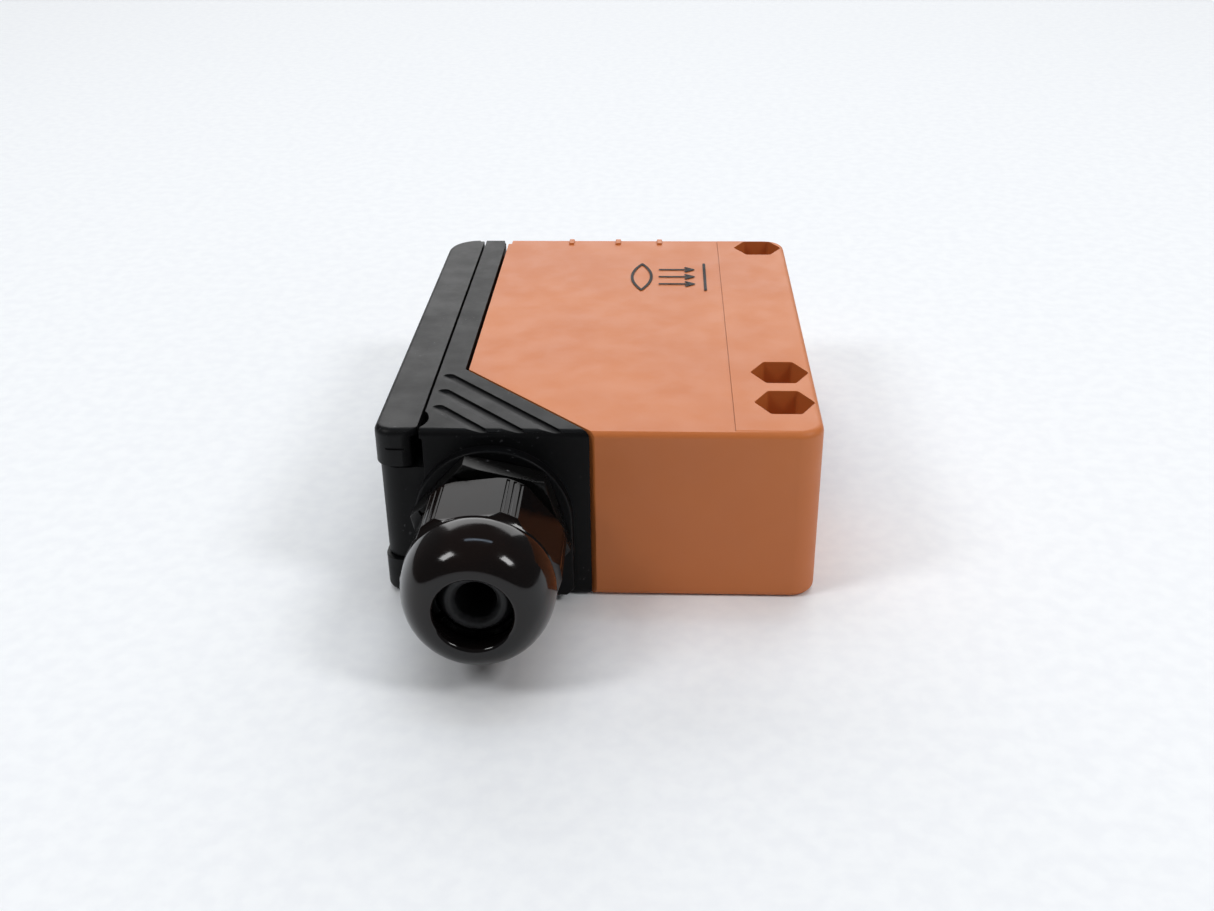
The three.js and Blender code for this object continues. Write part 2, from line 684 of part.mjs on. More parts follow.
const terminalFace = chamberSeat - terminal.depth;
const terminalLow = chamber.low + terminal.sideInset;
const terminalHigh = terminalLow + terminal.height;
const terminalLength = 2 * terminal.margin + (terminal.count - 1) * terminal.pitch;
const terminalNear = dialPlace[0] - dial.size / 2 - terminal.beforeDial - terminalLength;
const terminalRow = terminalLow + terminal.height / 2;
const cageFace = terminalFace + terminal.wellDepth + terminal.wellFloor;
const cageX = [cageFace, cageFace + terminal.cageDepth];
const terminalY = (index) => terminalNear + terminal.margin + index * terminal.pitch;

function terminalBlock() {
  const length = [terminalNear, terminalNear + terminalLength];
  let piece = block([terminalFace, chamberSeat], length, [terminalLow, terminalHigh]);
  for (let i = 0; i < terminal.count; i += 1) {
    const place = [terminalY(i), terminalRow];
    const half = terminal.cageWidth / 2;
    const wellFloor = terminalFace + terminal.wellDepth;
    piece = piece
      .subtract(bore("x", place, terminal.wellRadius, terminalFace - beyond, wellFloor))
      .subtract(bore("x", place, terminalScrew.shankRadius + gap, wellFloor - beyond, cageX[1]))
      .subtract(block(cageX, [place[0] - half, place[0] + half], [terminalRow - half, terminalHigh + beyond]));
  }
  return piece;
}

function terminalScrewSolid(index) {
  const from = terminalFace + terminalScrew.sunk;
  return slottedScrew(
    [terminalY(index), terminalRow],
    terminalScrew.headRadius, terminalScrew.headHeight, terminalScrew.shankRadius,
    from, from + terminalScrew.headHeight + terminalScrew.shankLength,
    terminalScrew.slotWidth, terminalScrew.slotDepth,
  );
}

// The wire cage: a square sleeve open along Z, with a hole in the wall that faces the screw's head.
function terminalClampSolid(index) {
  const y = terminalY(index);
  const half = terminal.cageWidth / 2 - gap;
  const x = [cageX[0] + gap + terminalClamp.travel, cageX[1] - gap];
  const z = [terminalRow - half, terminalHigh - gap];
  const wall = terminalClamp.wall;
  const sleeve = block(
    [x[0] + wall, x[1] - wall],
    [y - half + wall, y + half - wall],
    [z[0] - beyond, z[1] + beyond],
  );
  const holeRadius = terminalScrew.shankRadius + terminalClamp.holeClearance;
  return block(x, [y - half, y + half], z)
    .subtract(sleeve)
    .subtract(bore("x", [y, terminalRow], holeRadius, x[0] - beyond, x[0] + wall + join));
}

// Where the pins behind the terminals pass the chamber's floor.
function headerPlace() {
  const first = terminalY(0);
  const last = terminalY(terminal.count - 1);
  const half = board.pinRadius + 2 * gap;
  return { first, last, slotY: [first - half, last + half], slotZ: [terminalRow - half, terminalRow + half] };
}

// The pin strip: a bar behind the terminals with one pin for each, reaching to the board.
function pinStrip() {
  const place = headerPlace();
  const half = board.pinRadius + gap;
  const barX = [trayBack + gap, trayBack + gap + board.pinBar];
  let piece = block(barX, [place.first - half, place.last + half], [terminalRow - half, terminalRow + half]);
  for (let i = 0; i < terminal.count; i += 1) {
    const from = chamber.floor;
    piece = piece.add(rod("x", [terminalY(i), terminalRow], board.pinRadius, from, boardBack - gap, pinSides));
  }
  return piece;
}

// ------------------------------------------------ adjusting parts in the chamber

function potentiometerCase() {
  const half = dial.size / 2;
  const [y, z] = dialPlace;
  const wellFloor = dialFace + dial.rotorHeight / 2;
  return block([dialFace, chamberSeat], [y - half, y + half], [z - half, z + half]).subtract(
    bore("x", dialPlace, dial.rotorRadius + gap, dialFace - beyond, wellFloor, roundSides),
  );
}

function potentiometerRotor() {
  const [y, z] = dialPlace;
  const from = dialFace - dial.rotorHeight / 2;
  const knob = rod("x", dialPlace, dial.rotorRadius, from, dialFace + dial.rotorHeight / 2 - gap, roundSides);
  const half = dial.slotWidth / 2;
  return knob.subtract(
    block(
      [from - beyond, from + dial.slotDepth],
      [y - half, y + half],
      [z - dial.rotorRadius, z + dial.rotorRadius - dial.slotEnd],
    ),
  );
}

function modeSwitchCase() {
  const [y, z] = switchPlace;
  const halfWidth = modeSwitch.width / 2;
  const halfLength = modeSwitch.length / 2;
  const halfKnob = modeSwitch.knob / 2;
  const outside = block(
    [switchFace, chamberSeat],
    [y - halfWidth, y + halfWidth],
    [z - halfLength, z + halfLength],
  );
  return outside.subtract(
    block(
      [switchFace - beyond, switchWell],
      [y - halfKnob - gap, y + halfKnob + gap],
      [z - halfKnob - modeSwitch.travel / 2 - gap, z + halfKnob + modeSwitch.travel / 2 + gap],
    ),
  );
}

function modeSwitchSlider() {
  const [y, z] = switchPlace;
  const half = modeSwitch.knob / 2;
  const low = z - half - modeSwitch.travel / 2;
  const from = switchWell - gap - modeSwitch.knobHeight;
  return block([from, switchWell - gap], [y - half, y + half], [low, low + modeSwitch.knob]);
}

// ------------------------------------------------ fixing and sealing the chamber in the housing

function chamberScrewSolid([y, z]) {
  const from = chamber.floor - gap - chamberScrew.headHeight;
  return slottedScrew(
    [y, z], chamberScrew.headRadius, chamberScrew.headHeight, chamberScrew.shankRadius,
    from, trayBack + chamberScrew.bite, chamberScrew.slotWidth, chamberScrew.slotDepth,
  );
}

function chamberGasket() {
  const y = [chamberSeal.nearInset, cavity.far - chamberSeal.edgeGap];
  const z = [cavity.low + chamberSeal.edgeGap, cavity.high - chamberSeal.edgeGap];
  const from = trayBack + gap;
  return frameX(y, z, chamberSeal.width, chamberSeal.cornerRadius, from, from + chamberSeal.thickness);
}

// ------------------------------------------------ electronics

function mainBoard() {
  return block(
    [boardBack, boardFront],
    [ledgeOpening.y[0] + board.side, ledgeOpening.y[1] - board.side],
    [ledgeOpening.z[0] + board.side, ledgeOpening.z[1] - board.side],
  );
}

function relayCase() {
  const x = [boardBack - gap - relay.height, boardBack - gap];
  const high = ledgeOpening.z[1] - board.side;
  return block(x, [relay.fromNear, relay.fromNear + relay.length], [high - relay.width, high]);
}

function smoothingCapacitor() {
  const x = [boardBack - gap - capacitor.height, boardBack - gap];
  const place = [capacitor.fromNear, ledgeOpening.z[1] - board.side - capacitor.radius];
  return rod("x", place, capacitor.radius, x[0], x[1], roundSides);
}

// A coil former between the two cheeks of a laminated core.
function powerTransformer() {
  const x = [boardFront + gap, boardFront + gap + transformer.height];
  const y = [transformer.fromNear, transformer.fromNear + transformer.length];
  const half = transformer.width / 2;
  const swell = transformer.bobbinSwell;
  const core = block(x, y, [middle - half, middle + half]);
  const coil = block(
    [x[0] + swell, x[1] - swell],
    [y[0] + transformer.coreWall, y[1] - transformer.coreWall],
    [middle - half - swell, middle + half + swell],
  );
  return core.add(coil);
}

function indicatorPlace() {
  const x0 = boardFront + indicator.fromBoard;
  return {
    x: [x0, x0 + indicator.width],
    z: [middle - indicator.length / 2, middle + indicator.length / 2],
    leds: [middle - indicator.ledSpacing / 2, middle + indicator.ledSpacing / 2],
  };
}

// One indicator lamp lying along Y, on a foot that stands on the board.
function indicatorLed(z) {
  const place = indicatorPlace();
  const x = (place.x[0] + place.x[1]) / 2;
  const r = indicator.ledRadius;
  const tip = cavity.far - gap - indicator.flangeHeight - 2 * gap;
  const end = ledgeOpening.y[1] - board.side;
  const footEnd = end - indicator.footInset;
  const lamp = rod("y", [z, x], r, end - indicator.ledInset, tip);
  const foot = block([boardFront + gap, x + r], [footEnd - indicator.footLength, footEnd], [z - r, z + r]);
  return lamp.add(foot);
}

function indicatorWindow() {
  const place = indicatorPlace();
  const outline = rounded(place.z, place.x, indicator.cornerRadius);
  const plug = extruded("y", outline, cavity.far - gap - join, body.length);
  const flange = indicator.flange;
  const back = block(
    [place.x[0] - flange, place.x[1] + flange],
    [cavity.far - gap - indicator.flangeHeight, cavity.far - gap],
    [place.z[0] - flange, place.z[1] + flange],
  );
  return plug.add(back);
}

// ------------------------------------------------ optics

function opticsCarrier() {
  let piece = block(
    [opticsBack, opticsFront],
    [rebate.y[0] + gap, rebate.y[1] - gap],
    [cavity.low + 2 * gap, cavity.high - 2 * gap],
  );
  for (const place of lensPlaces) {
    const seat = opticsFront - optics.seat;
    const throatEnd = opticsBack + barrel.throatDepth;
    piece = piece
      .subtract(bore("x", place, optics.lensRadius + gap, seat, opticsFront + beyond, roundSides))
      .subtract(bore("x", place, optics.lensRadius - barrel.shoulder, throatEnd, seat + beyond))
      .subtract(bore("x", place, barrel.throatRadius, opticsBack - beyond, throatEnd + beyond));
  }
  return piece;
}

// A flat-backed lens whose front is part of a sphere.
function lens(place) {
  const back = opticsFront - optics.seat + gap;
  const edge = back + optics.lensEdge;
  const sphere = (optics.lensRadius ** 2 + optics.lensRise ** 2) / (2 * optics.lensRise);
  const profile = [[0, back], [optics.lensRadius, back], [optics.lensRadius, edge]];
  for (let i = arcSteps.dome - 1; i >= 0; i -= 1) {
    const radius = (optics.lensRadius * i) / arcSteps.dome;
    profile.push([radius, edge + Math.sqrt(sphere ** 2 - radius ** 2) - sphere + optics.lensRise]);
  }
  return turned("x", place, profile);
}

function opticDiode(place) {
  const from = boardFront + gap;
  const flange = rod("x", place, diode.flangeRadius, from, from + diode.flangeHeight);
  return flange.add(rod("x", place, diode.radius, from, from + diode.length));
}

function frontWindow() {
  const front = body.width - pane.recess;
  const y = [rebate.y[0] + gap, rebate.y[1] - gap];
  const z = [rebate.z[0] + gap, rebate.z[1] - gap];
  return extruded("x", rounded(y, z, pane.corner - gap), front - pane.thickness, front);
}

function frontSeal() {
  const from = rebate.floor + gap;
  const y = [rebate.y[0] + 2 * gap, rebate.y[1] - 2 * gap];
  const z = [rebate.z[0] + 2 * gap, rebate.z[1] - 2 * gap];
  return frameX(y, z, paneSeal.width, pane.corner - 2 * gap, from, from + paneSeal.thickness);
}

// ------------------------------------------------ assembly

add("main_housing", mainHousing(), colour.orange, 0.55);
add("connection_housing", connectionHousing(), colour.black, 0.6);
add("terminal_cover", terminalCover(), colour.black, 0.6);
add("hinge_pin", hingePin(), colour.steel, 0.3, 1);
add("cover_gasket", coverGasket(), colour.rubber, 0.8);
add("cover_screw", coverScrewSolid(), colour.steel, 0.3, 1);
add("cover_screw_ring", coverScrewRing(), 0x111111, 0.7);

add("gland_body", glandBody(), colour.black, 0.5);
add("gland_o_ring", glandRing(), colour.rubber, 0.8);
add("clamping_claw", clampingClaw(), 0x2a2a2c, 0.5);
add("gland_seal", sealInsert(), colour.rubber, 0.85);
add("thrust_ring", thrustRing(), 0xd8d4c8, 0.5);
add("gland_cap_nut", capNut(), colour.gloss, 0.15);

add("terminal_block", terminalBlock(), 0x8d9096, 0.55);
for (let i = 0; i < terminal.count; i += 1) {
  add("terminal_screw_" + (i + 1), terminalScrewSolid(i), colour.steel, 0.3, 1);
  add("terminal_clamp_" + (i + 1), terminalClampSolid(i), 0xc9a24a, 0.35, 1);
}
add("pin_strip", pinStrip(), 0xb9b7a8, 0.4, 1);
add("potentiometer_case", potentiometerCase(), 0x2c5aa8, 0.5);
add("potentiometer_rotor", potentiometerRotor(), 0xe8e6dc, 0.5);
add("mode_switch_case", modeSwitchCase(), 0x35363a, 0.5);
add("mode_switch_slider", modeSwitchSlider(), 0xe8e6dc, 0.5);
chamberScrewPlaces.forEach((place, i) => {
  add("chamber_screw_" + (i + 1), chamberScrewSolid(place), colour.steel, 0.3, 1);
});
add("chamber_gasket", chamberGasket(), colour.rubber, 0.8);

add("main_board", mainBoard(), 0x1f6b3a, 0.5);
add("relay", relayCase(), 0x1d1e22, 0.4);
add("smoothing_capacitor", smoothingCapacitor(), 0x26314a, 0.4);
add("power_transformer", powerTransformer(), 0x7c5a3a, 0.6);
add("indicator_led_output", indicatorLed(indicatorPlace().leds[0]), 0xe0b030, 0.2);
add("indicator_led_power", indicatorLed(indicatorPlace().leds[1]), 0x3fae4c, 0.2);
add("indicator_window", indicatorWindow(), 0xe8e8e0, 0.1);

add("optics_carrier", opticsCarrier(), 0x1b1b1d, 0.7);
add("emitter_lens", lens(lensPlaces[0]), 0xeef2f4, 0.05);
add("receiver_lens", lens(lensPlaces[1]), 0xeef2f4, 0.05);
add("emitter_diode", opticDiode(lensPlaces[0]), 0xd8dde2, 0.1);
add("receiver_diode", opticDiode(lensPlaces[1]), 0x2a1a2a, 0.1);
add("front_window", frontWindow(), 0x4a1210, 0.1);
add("front_seal", frontSeal(), colour.rubber, 0.8);

// The origin is put in the middle of the whole object's base.
const extent = new THREE.Box3().setFromObject(object);
const centre = extent.getCenter(new THREE.Vector3());
object.position.set(-centre.x, -centre.y, -extent.min.z);

export default object;
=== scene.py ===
"""Looks of a photoelectric sensor with a hinged terminal chamber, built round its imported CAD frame.

Shapes are worked out in millimetres from the body's own low corner: X from the back of the cover to the optical
front, Y from the gland side to the far end, Z up. They become metres in the row frame as each piece is delivered.
"""

import json
import logging
from collections.abc import Sequence
from dataclasses import dataclass
from enum import Enum

import bmesh
import bpy
import numpy as np
from mathutils import Matrix, Vector


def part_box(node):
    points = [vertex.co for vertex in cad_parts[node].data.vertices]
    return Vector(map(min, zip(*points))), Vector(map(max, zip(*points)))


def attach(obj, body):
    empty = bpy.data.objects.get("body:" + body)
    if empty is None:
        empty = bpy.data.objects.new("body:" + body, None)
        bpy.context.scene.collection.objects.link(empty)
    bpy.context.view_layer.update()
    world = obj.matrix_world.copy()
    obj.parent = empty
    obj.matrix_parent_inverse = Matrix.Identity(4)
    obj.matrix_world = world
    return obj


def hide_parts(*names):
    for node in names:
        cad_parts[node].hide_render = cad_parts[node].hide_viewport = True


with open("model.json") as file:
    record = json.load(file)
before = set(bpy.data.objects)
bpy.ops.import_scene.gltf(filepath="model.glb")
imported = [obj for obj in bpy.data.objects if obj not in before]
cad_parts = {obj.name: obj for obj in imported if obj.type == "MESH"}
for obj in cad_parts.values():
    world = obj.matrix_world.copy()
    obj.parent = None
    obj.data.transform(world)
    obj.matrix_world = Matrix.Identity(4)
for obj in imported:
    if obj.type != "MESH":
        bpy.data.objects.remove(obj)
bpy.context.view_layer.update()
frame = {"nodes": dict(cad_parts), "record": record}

log = logging.getLogger("sensor")

METRES = 0.001  # metres in a millimetre
BEYOND = 1.0  # how far a cutter runs past the face it opens, in millimetres
JOIN = 0.2  # how far joined solids run into one another, in millimetres
WELD = 2e-3  # points nearer than this are one point after the booleans, in millimetres
FLAT = np.radians(0.5)  # faces that meet at less than this are joined into one
FULL_TURN = 2 * np.pi

Pair = tuple[float, float]
Socket = bpy.types.NodeSocket
Value = float | tuple[float, ...] | Socket


class Axis(Enum):
    """The axis a shape is carried along, with the columns that its outline's two coordinates and its length fill."""

    X = (1, 2, 0)
    Y = (2, 0, 1)
    Z = (0, 1, 2)


# ---------------------------------------------------------------- outlines


def arc(centre: Pair, radius: float, start: float, end: float, steps: int = 10) -> np.ndarray:
    """Points evenly spaced by angle on a circle: the centre plus the radius times (cosine, sine).

    Args:
        centre: The circle's middle.
        radius: Its radius.
        start: The first angle in radians.
        end: The last angle in radians.
        steps: How many straight runs the arc has.

    Returns:
        An array of steps + 1 points.
    """
    angle = np.linspace(start, end, steps + 1)
    return np.column_stack([centre[0] + radius * np.cos(angle), centre[1] + radius * np.sin(angle)])


def circle(centre: Pair, radius: float, steps: int = 72) -> np.ndarray:
    """A full circle, anticlockwise, without a doubled last point."""
    return arc(centre, radius, 0, FULL_TURN, steps)[:-1]


def rectangle(u: Pair, v: Pair, radii: float | Sequence[float] = 0, steps: int = 10) -> np.ndarray:
    """A rectangle with quarter circles at its corners, anticlockwise from the low-low corner.

    Args:
        u: The limits of the first coordinate.
        v: The limits of the second coordinate.
        radii: One corner radius, or one for each corner from low-low anticlockwise.
        steps: Straight runs in each corner.

    Returns:
        The outline's points.
    """
    a, b, c, d = radii if isinstance(radii, Sequence) else [radii] * 4
    if max(a, b, c, d) == 0:
        return np.array([[u[0], v[0]], [u[1], v[0]], [u[1], v[1]], [u[0], v[1]]], float)
    quarter = np.pi / 2
    return np.concatenate([
        arc((u[0] + a, v[0] + a), a, 2 * quarter, 3 * quarter, steps),
        arc((u[1] - b, v[0] + b), b, 3 * quarter, 4 * quarter, steps),
        arc((u[1] - c, v[1] - c), c, 0, quarter, steps),
        arc((u[0] + d, v[1] - d), d, quarter, 2 * quarter, steps),
    ])


def rounded(points: Sequence[Pair] | np.ndarray, radius: float, closed: bool = True, steps: int = 5) -> np.ndarray:
    """Every corner of a line made round: between two points set back along its sides, on a quadratic curve whose
    middle control point is the corner itself.

    Args:
        points: The line's corners in order.
        radius: The set-back along each side, which is at most 0.45 of that side.
        closed: Whether the last point joins the first.
        steps: Straight runs in each corner.

    Returns:
        The rounded line's points.
    """
    corner = np.asarray(points, float)
    before, after = np.roll(corner, 1, 0) - corner, np.roll(corner, -1, 0) - corner
    reach_before = np.minimum(radius, 0.45 * np.linalg.norm(before, axis=1))[:, None]
    reach_after = np.minimum(radius, 0.45 * np.linalg.norm(after, axis=1))[:, None]
    enter = corner + before / np.linalg.norm(before, axis=1)[:, None] * reach_before
    leave = corner + after / np.linalg.norm(after, axis=1)[:, None] * reach_after
    t = np.linspace(0, 1, steps + 1)[None, :, None]
    curve = (1 - t) ** 2 * enter[:, None] + 2 * t * (1 - t) * corner[:, None] + t**2 * leave[:, None]
    if closed:
        return curve.reshape(-1, 2)
    return np.concatenate([corner[:1], curve[1:-1].reshape(-1, 2), corner[-1:]])


def inset(outline: np.ndarray, distance: float) -> np.ndarray:
    """An anticlockwise outline moved inwards: each point goes along the sum of its two sides' inward normals,
    divided by one plus their cosine, so that both sides move by the distance.

    Args:
        outline: The outline's points.
        distance: How far its sides move, which is at most its smallest corner radius.

    Returns:
        The smaller outline's points.
    """
    side = np.roll(outline, -1, 0) - outline
    length = np.linalg.norm(side, axis=1)
    length[length < 1e-9] = 1  # a doubled point has no side
    normal = np.column_stack([-side[:, 1], side[:, 0]]) / length[:, None]
    before = np.roll(normal, 1, 0)
    cosine = np.sum(normal * before, axis=1)[:, None]
    return outline + distance * (normal + before) / np.maximum(1 + cosine, 0.3)


# ---------------------------------------------------------------- solids


class Stock:
    """A closed solid in millimetres that can be cut and joined before it becomes a piece."""

    def __init__(self, vertices: np.ndarray, faces: list[Sequence[int]]) -> None:
        """Puts the arrays into a mesh, welds doubled points and turns the faces outwards.

        Args:
            vertices: Points as an array of rows of three.
            faces: The point numbers round each face.
        """
        mesh = bpy.data.meshes.new("stock")
        mesh.from_pydata(vertices, [], faces)
        work = bmesh.new()
        work.from_mesh(mesh)
        bmesh.ops.remove_doubles(work, verts=work.verts, dist=1e-5)
        bmesh.ops.recalc_face_normals(work, faces=work.faces)
        work.to_mesh(mesh)
        work.free()
        self.item = bpy.data.objects.new("stock", mesh)
        bpy.context.scene.collection.objects.link(self.item)
        self.tools: list[bpy.types.Object] = []

    def _combine(self, operation: str, others: Sequence["Stock"]) -> "Stock":
        """Adds one exact boolean for each other solid.

        Args:
            operation: DIFFERENCE, UNION or INTERSECT.
            others: The solids to combine with.

        Returns:
            This solid.
        """
        for other in others:
            step = self.item.modifiers.new(operation, "BOOLEAN")
            step.operation = operation
            step.solver = "MANIFOLD"
            step.object = other.settled().item
            self.tools.append(other.item)
        return self

    def cut(self, *others: "Stock") -> "Stock":
        """Takes the other solids out of this one."""
        return self._combine("DIFFERENCE", others)

    def join(self, *others: "Stock") -> "Stock":
        """Adds the other solids to this one."""
        return self._combine("UNION", others)

    def keep(self, *others: "Stock") -> "Stock":
        """Keeps what this solid shares with each of the others."""
        return self._combine("INTERSECT", others)

    def settled(self) -> "Stock":
        """Works out the waiting modifiers, and removes the solids that they used.

        Returns:
            This solid.
        """
        if len(self.item.modifiers):
            graph = bpy.context.evaluated_depsgraph_get()
            mesh = bpy.data.meshes.new_from_object(self.item.evaluated_get(graph))
            self.item.modifiers.clear()
            old = self.item.data
            self.item.data = mesh
            bpy.data.meshes.remove(old)
            for tool in self.tools:
                bpy.data.meshes.remove(tool.data)
            self.tools = []
        return self

    def softened(self, width: float, angle: float = 32, segments: int = 2) -> "Stock":
        """Rounds the edges that booleans left sharp.

        Args:
            width: The bevel's width in millimetres.
            angle: The smallest angle between two faces that counts as an edge, in degrees.
            segments: Strips across the bevel.

        Returns:
            This solid.
        """
        self.settled()
        work = bmesh.new()
        work.from_mesh(self.item.data)
        bmesh.ops.remove_doubles(work, verts=work.verts, dist=WELD)
        bmesh.ops.dissolve_limit(work, angle_limit=FLAT, verts=work.verts, edges=work.edges)
        work.to_mesh(self.item.data)
        work.free()
        if width > 0:
            step = self.item.modifiers.new("edges", "BEVEL")
            step.width = width
            step.segments = segments
            step.limit_method = "ANGLE"
            step.angle_limit = np.radians(angle)
            step.use_clamp_overlap = False
            step.miter_outer = "MITER_ARC"
            self.settled()
        return self


def loft(rings: np.ndarray, looped: bool = False) -> Stock:
    """A skin of four-sided faces over a grid of points whose rings each close on themselves.

    Args:
        rings: Points as an array (ring, place round the ring, 3).
        looped: Whether the last ring joins the first; otherwise the two end rings are filled with flat faces.

    Returns:
        The closed solid.
    """
    count, size = rings.shape[:2]
    number = np.arange(count * size).reshape(count, size)
    first = number if looped else number[:-1]
    second = np.roll(number, -1, 0) if looped else number[1:]
    quads = np.stack([first, np.roll(first, -1, 1), np.roll(second, -1, 1), second], -1).reshape(-1, 4)
    faces: list[Sequence[int]] = quads.tolist()
    if not looped:
        faces += [number[0, ::-1].tolist(), number[-1].tolist()]
    return Stock(rings.reshape(-1, 3), faces)


def placed(axis: Axis, outline: np.ndarray, along: np.ndarray | float) -> np.ndarray:
    """An outline's two coordinates and its place along an axis, put into X, Y and Z.

    Args:
        axis: The axis the outline is carried along.
        outline: Its points, as an array whose last side is two.
        along: Each point's place along the axis, or one place for all.

    Returns:
        The points in space.
    """
    points = np.empty(outline.shape[:-1] + (3,))
    u, v, w = axis.value
    points[..., u] = outline[..., 0]
    points[..., v] = outline[..., 1]
    points[..., w] = along
    return points


def prism(
    axis: Axis, outline: np.ndarray, low: float, high: float,
    low_edge: float = 0, high_edge: float = 0, steps: int = 6,
) -> Stock:
    """An outline carried along an axis. Towards a rounded end it moves inwards by the edge radius times one minus
    the sine of an angle, while its place moves by the radius times one minus the cosine.

    Args:
        axis: The axis it is carried along.
        outline: Its anticlockwise outline.
        low: Where it starts.
        high: Where it ends.
        low_edge: The radius of the edge at its start.
        high_edge: The radius of the edge at its end.
        steps: Straight runs across a round edge.

    Returns:
        The solid.
    """
    rings = []
    angle = np.linspace(0, np.pi / 2, steps + 1)
    for edge, end, way in ((low_edge, low, 1), (high_edge, high, -1)):
        turns = angle if edge > 0 else angle[-1:]
        part = [
            placed(axis, inset(outline, edge * (1 - np.sin(a))), end + way * edge * (1 - np.cos(a))) for a in turns
        ]
        rings += part if way > 0 else part[::-1]
    return loft(np.stack(rings))


def box(x: Pair, y: Pair, z: Pair, edge: float = 0) -> Stock:
    """A block between two limits on each axis; with an edge radius, every edge is round."""
    steps = 3
    return prism(Axis.Z, rectangle(x, y, edge, steps), z[0], z[1], edge, edge, steps)


def rod(
    axis: Axis, centre: Pair, radius: float, low: float, high: float,
    low_edge: float = 0, high_edge: float = 0, steps: int = 72,
) -> Stock:
    """A round bar along an axis, with round edges if wanted."""
    return prism(axis, circle(centre, radius, steps), low, high, low_edge, high_edge, 4)


def turned(axis: Axis, centre: Pair, profile: np.ndarray, steps: int = 96) -> Stock:
    """A closed profile of (radius, place along the axis) swept once round an axis: each point goes round a circle
    of its own radius.

    Args:
        axis: The axis it is turned about.
        centre: Where that axis stands.
        profile: The profile's points. It closes on itself, or starts and ends on the axis.
        steps: Places round the axis.

    Returns:
        The solid.
    """
    angle = np.linspace(0, FULL_TURN, steps, endpoint=False)
    radius, along = profile[:, 0, None], np.broadcast_to(profile[:, 1, None], (len(profile), steps))
    outline = np.stack([centre[0] + radius * np.cos(angle), centre[1] + radius * np.sin(angle)], -1)
    return loft(placed(axis, outline, along), looped=True)


def ring(
    axis: Axis, centre: Pair, inner: float, outer: float, low: float, high: float, edge: float = 0.1, steps: int = 96
) -> Stock:
    """A ring of rectangular section with round edges about an axis."""
    section = np.array([[inner, low], [outer, low], [outer, high], [inner, high]], float)
    return turned(axis, centre, rounded(section, edge, steps=3), steps)


def hoop(
    axis: Axis, u: Pair, v: Pair, radius: float, width: float, low: float, high: float, high_edge: float = 0
) -> Stock:
    """A rectangular frame: a rounded rectangle with its middle cut out.

    Args:
        axis: The axis the frame's section is carried along.
        u: The outside limits of the first coordinate.
        v: The outside limits of the second coordinate.
        radius: The outside corner radius.
        width: The frame's width.
        low: Where it starts.
        high: Where it ends.
        high_edge: The radius of its outside edge at the end.

    Returns:
        The solid.
    """
    outside = prism(axis, rectangle(u, v, radius, 6), low, high, 0, high_edge, 4)
    middle = rectangle((u[0] + width, u[1] - width), (v[0] + width, v[1] - width), max(radius - width, 0.3), 4)
    return outside.cut(prism(axis, middle, low - BEYOND, high + BEYOND))


# ---------------------------------------------------------------- the frame's places in millimetres


class Bench:
    """Where things stand, read from the frame, and how a finished piece joins it."""

    def __init__(self) -> None:
        """Takes the body's low corner as the origin, and the record's bodies and slots for each node."""
        self.origin = np.array(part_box("terminal_cover")[0])
        record = frame["record"]
        self.body_of = {node: body for body, nodes in record["behaviour"]["bodies"].items() for node in nodes}
        self.slot_of = {part["node"]: part["material_slot"] for part in record["subparts"]}
        self.done: set[str] = set()

    def span(self, node: str) -> tuple[Pair, Pair, Pair]:
        """A CAD node's limits along X, Y and Z, in millimetres from the body's low corner."""
        low, high = (np.round((np.array(corner) - self.origin) / METRES, 3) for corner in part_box(node))
        return tuple((float(a), float(b)) for a, b in zip(low, high))

    def centre(self, node: str, axis: Axis) -> Pair:
        """The middle of a CAD node across an axis, in the order of that axis's outline coordinates."""
        span = self.span(node)
        return (sum(span[axis.value[0]]) / 2, sum(span[axis.value[1]]) / 2)

    def deliver(
        self, name: str, stock: Stock, nodes: Sequence[str], bevel: float = 0, angle: float = 32, slot: str = "",
        body: str = "",
    ) -> bpy.types.Object:
        """Turns a solid into a finished piece: metres, smooth faces, its finish, its body and the nodes it replaces.

        Args:
            name: The piece's name.
            stock: Its solid in millimetres.
            nodes: The CAD nodes it stands for, which may be none.
            bevel: The width of the softened edges in millimetres.
            angle: Faces that meet at more than this many degrees keep a crisp edge.
            slot: The material slot, if it isn't the first node's.
            body: The body it rides on, if it isn't the first node's.

        Returns:
            The finished object.
        """
        item = stock.softened(bevel, angle).item
        mesh = item.data
        points = np.empty(len(mesh.vertices) * 3, np.float32)
        mesh.vertices.foreach_get("co", points)
        mesh.vertices.foreach_set("co", (points.reshape(-1, 3) * METRES + self.origin).astype(np.float32).ravel())
        mesh.update()
        mesh.shade_smooth()
        mesh.set_sharp_from_angle(angle=np.radians(angle))
        weigh = item.modifiers.new("weighted_normals", "WEIGHTED_NORMAL")
        weigh.keep_sharp = True
        weigh.weight = 60
        item.name = name
        mesh.name = name
        slot = slot or self.slot_of[nodes[0]]
        mesh.materials.clear()
        mesh.materials.append(material_for(slot))
        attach(item, body or self.body_of[nodes[0]])
        if nodes:
            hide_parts(*nodes)
            self.done.update(nodes)
        log.info("%s: %d faces, slot %s", name, len(mesh.polygons), slot)
        return item

    def dress_rest(self) -> None:
        """Gives every CAD node that stays as it is the finish of its own slot."""
        for node, item in frame["nodes"].items():
            if node not in self.done:
                item.data.materials.clear()
                item.data.materials.append(material_for(self.slot_of[node]))
                log.info("%s: kept from the CAD, slot %s", node, self.slot_of[node])


# ---------------------------------------------------------------- finishes


